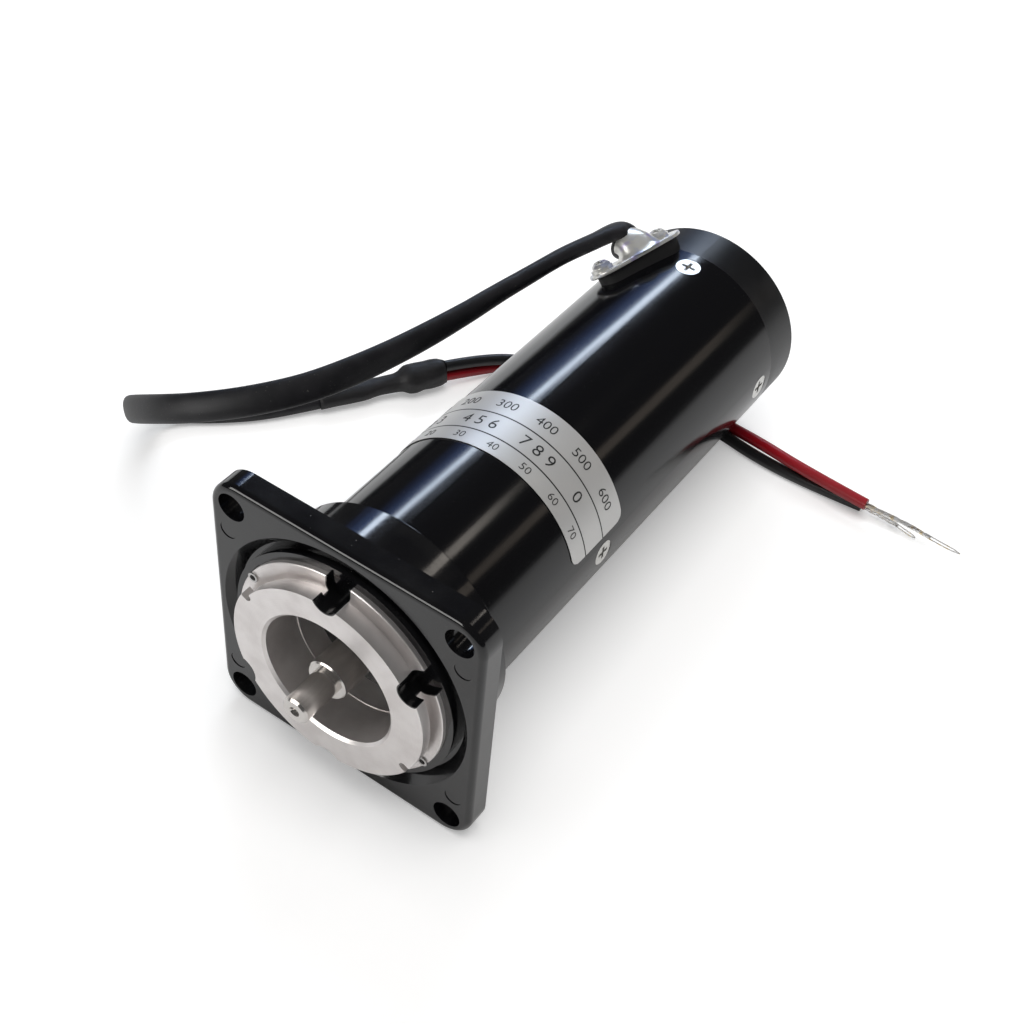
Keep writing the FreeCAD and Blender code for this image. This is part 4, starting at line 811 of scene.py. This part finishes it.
def makeSleeve(s):
    line = routePoints(s["route"], s["fineness"])
    sizes = routePoints([(w, h, 0) for w, h in s["sizes"]], s["fineness"])
    last = len(line) - 1
    sizes = [sizes[round(i / last * (len(sizes) - 1))] for i in range(last + 1)]
    sections = [(p.x * mm, p.y * mm, 0, s["square"]) for p in sizes]
    bm = bmesh.new()
    rings = sweep(bm, line, sections, s["sides"])
    calm, (start, growth), (foldPart, creasePart) = s["calm"], s["growth"], s["kinds"]
    around, along = s["creases"]
    for i, (ring, middle) in enumerate(zip(rings, line)):
        share = i / last
        grown = min(1, max(0, (share - start) / growth))
        depth = s["wrinkle"] * mm * (calm + (1 - calm) * grown)
        for v in ring:
            out = (v.co - middle).normalized()
            fold = noise.noise(v.co * Vector(s["folds"]))
            crease = noise.noise(Vector((out.x * around, out.z * around + along,
                                         share * along)))
            v.co += out * (depth * (foldPart * fold + creasePart * crease))
            v.co.z = max(v.co.z, s["floor"])
    sleeve = addPiece("spliceSleeve", bm, shrink)
    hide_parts("splice_sleeve")
    return sleeve


leadSettings = {
    "diameter": 0.0038, "fineness": 10, "roundness": 5,
    "red": [(-0.0687, 0.0526, 0.0039), (-0.0603, 0.0659, 0.0027), (-0.0503, 0.0783, 0.0019),
            (-0.0373, 0.0881, 0.0019), (-0.0203, 0.0939, 0.0019), (0.0, 0.0948, 0.0019),
            (0.0185, 0.0926, 0.0022), (0.0326, 0.0890, 0.0052), (0.0500, 0.0858, 0.0062),
            (0.0728, 0.0846, 0.0062)],
    "black": [(-0.0687, 0.0526, 0.0081), (-0.0605, 0.0657, 0.0071), (-0.0481, 0.0759, 0.0052),
              (-0.0349, 0.0841, 0.0026), (-0.0188, 0.0892, 0.0019), (0.0, 0.0903, 0.0019),
              (0.0185, 0.0882, 0.0019), (0.0326, 0.0859, 0.0019), (0.0500, 0.0855, 0.0019),
              (0.0708, 0.0874, 0.0019)],
    "redLength": 0.1599, "blackLength": 0.1539,
}


def makeLead(name, points, s, material, node):
    lead = routeCurve(name, points, s["fineness"])
    lead.data.bevel_depth = s["diameter"] / 2
    lead.data.bevel_resolution = s["roundness"]
    lead.data.use_fill_caps = True
    lead.data.materials.append(material)
    bpy.context.scene.collection.objects.link(lead)
    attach(lead, "stator")
    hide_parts(node)
    return lead


strandSettings = {
    "red": [(0.0722, 0.0846, 0.0062), (0.0813, 0.0855, 0.0053), (0.0903, 0.0863, 0.0046),
            (0.0975, 0.0861, 0.0039), (0.1049, 0.0864, 0.0034)],
    "black": [(0.0702, 0.0874, 0.0019), (0.0772, 0.0878, 0.0017), (0.0836, 0.0872, 0.0014),
              (0.0904, 0.0860, 0.0012)],
    "fineness": 14, "sides": 6,
    # number of wires, radius of one, of their bundle, and the length of one turn
    "wires": 8, "wire": 0.00022, "bundle": 0.00072, "pitch": 0.016,
    "loop": 2, "cut": 0.66,  # two wires run on past the rest and meet in a loop
    "loopTurns": 2, "stagger": 0.012,  # every other wire ends a little further on
    # the bundle narrows, lies flat, closes over the last tenth and is a little untidy
    "narrowing": 0.4, "flatness": 0.8, "tip": 0.1, "stray": 0.35, "strayRun": 4,
    "wireApart": 3.7,
}


def makeStrands(name, points, node, s, seed):
    line = routePoints(points, s["fineness"])
    bm = bmesh.new()
    travelled = 0
    runs = [0]
    for first, second in zip(line, line[1:]):
        travelled += (second - first).length
        runs.append(travelled)
    for k in range(s["wires"]):
        own = []
        for i, place in enumerate(line):
            share = runs[i] / travelled
            turn = 2 * math.pi * (k / s["wires"] + runs[i] / s["pitch"])
            if k < s["loop"]:  # side by side once the others have ended
                turn = math.pi * k + 2 * math.pi * min(share, s["cut"]) * s["loopTurns"]
            tip = 1 - max(0, (share - 1 + s["tip"]) / s["tip"]) ** 2
            spread = s["bundle"] * (1 - s["narrowing"] * share) * tip
            stray = noise.noise(Vector((k * s["wireApart"] + seed, share * s["strayRun"], 0)))
            level, rise = lineAxes(line, i)[1:]
            aside = level * math.cos(turn) + rise * math.sin(turn) * s["flatness"]
            own.append(place + aside * spread * (1 + s["stray"] * stray))
        for p in own:
            p.z = max(p.z, s["wire"])
        if k >= s["loop"]:
            own = own[:int(len(own) * (s["cut"] + s["stagger"] * k))]
        sweep(bm, own, [(s["wire"], s["wire"], 0, 1)] * len(own), s["sides"])
    bundle = addPiece(name, bm, strand)
    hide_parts(node)
    return bundle


makeHood(clampSettings)
makePad(clampSettings)
makeLabel(labelSettings)
makeFigures(labelSettings)
print("hood, pad and label made")
cable, cableLine = makeCable(cableSettings)
sleeve = makeSleeve(sleeveSettings)
redStrands = makeStrands("redStrands", strandSettings["red"], "red_strands", strandSettings, 1)
blackStrands = makeStrands("blackStrands", strandSettings["black"], "black_strands",
                           strandSettings, 5)
redLead = makeLead("redLead", leadSettings["red"], leadSettings, red, "red_lead")
blackLead = makeLead("blackLead", leadSettings["black"], leadSettings, black, "black_lead")
print("cable, sleeve and leads laid")
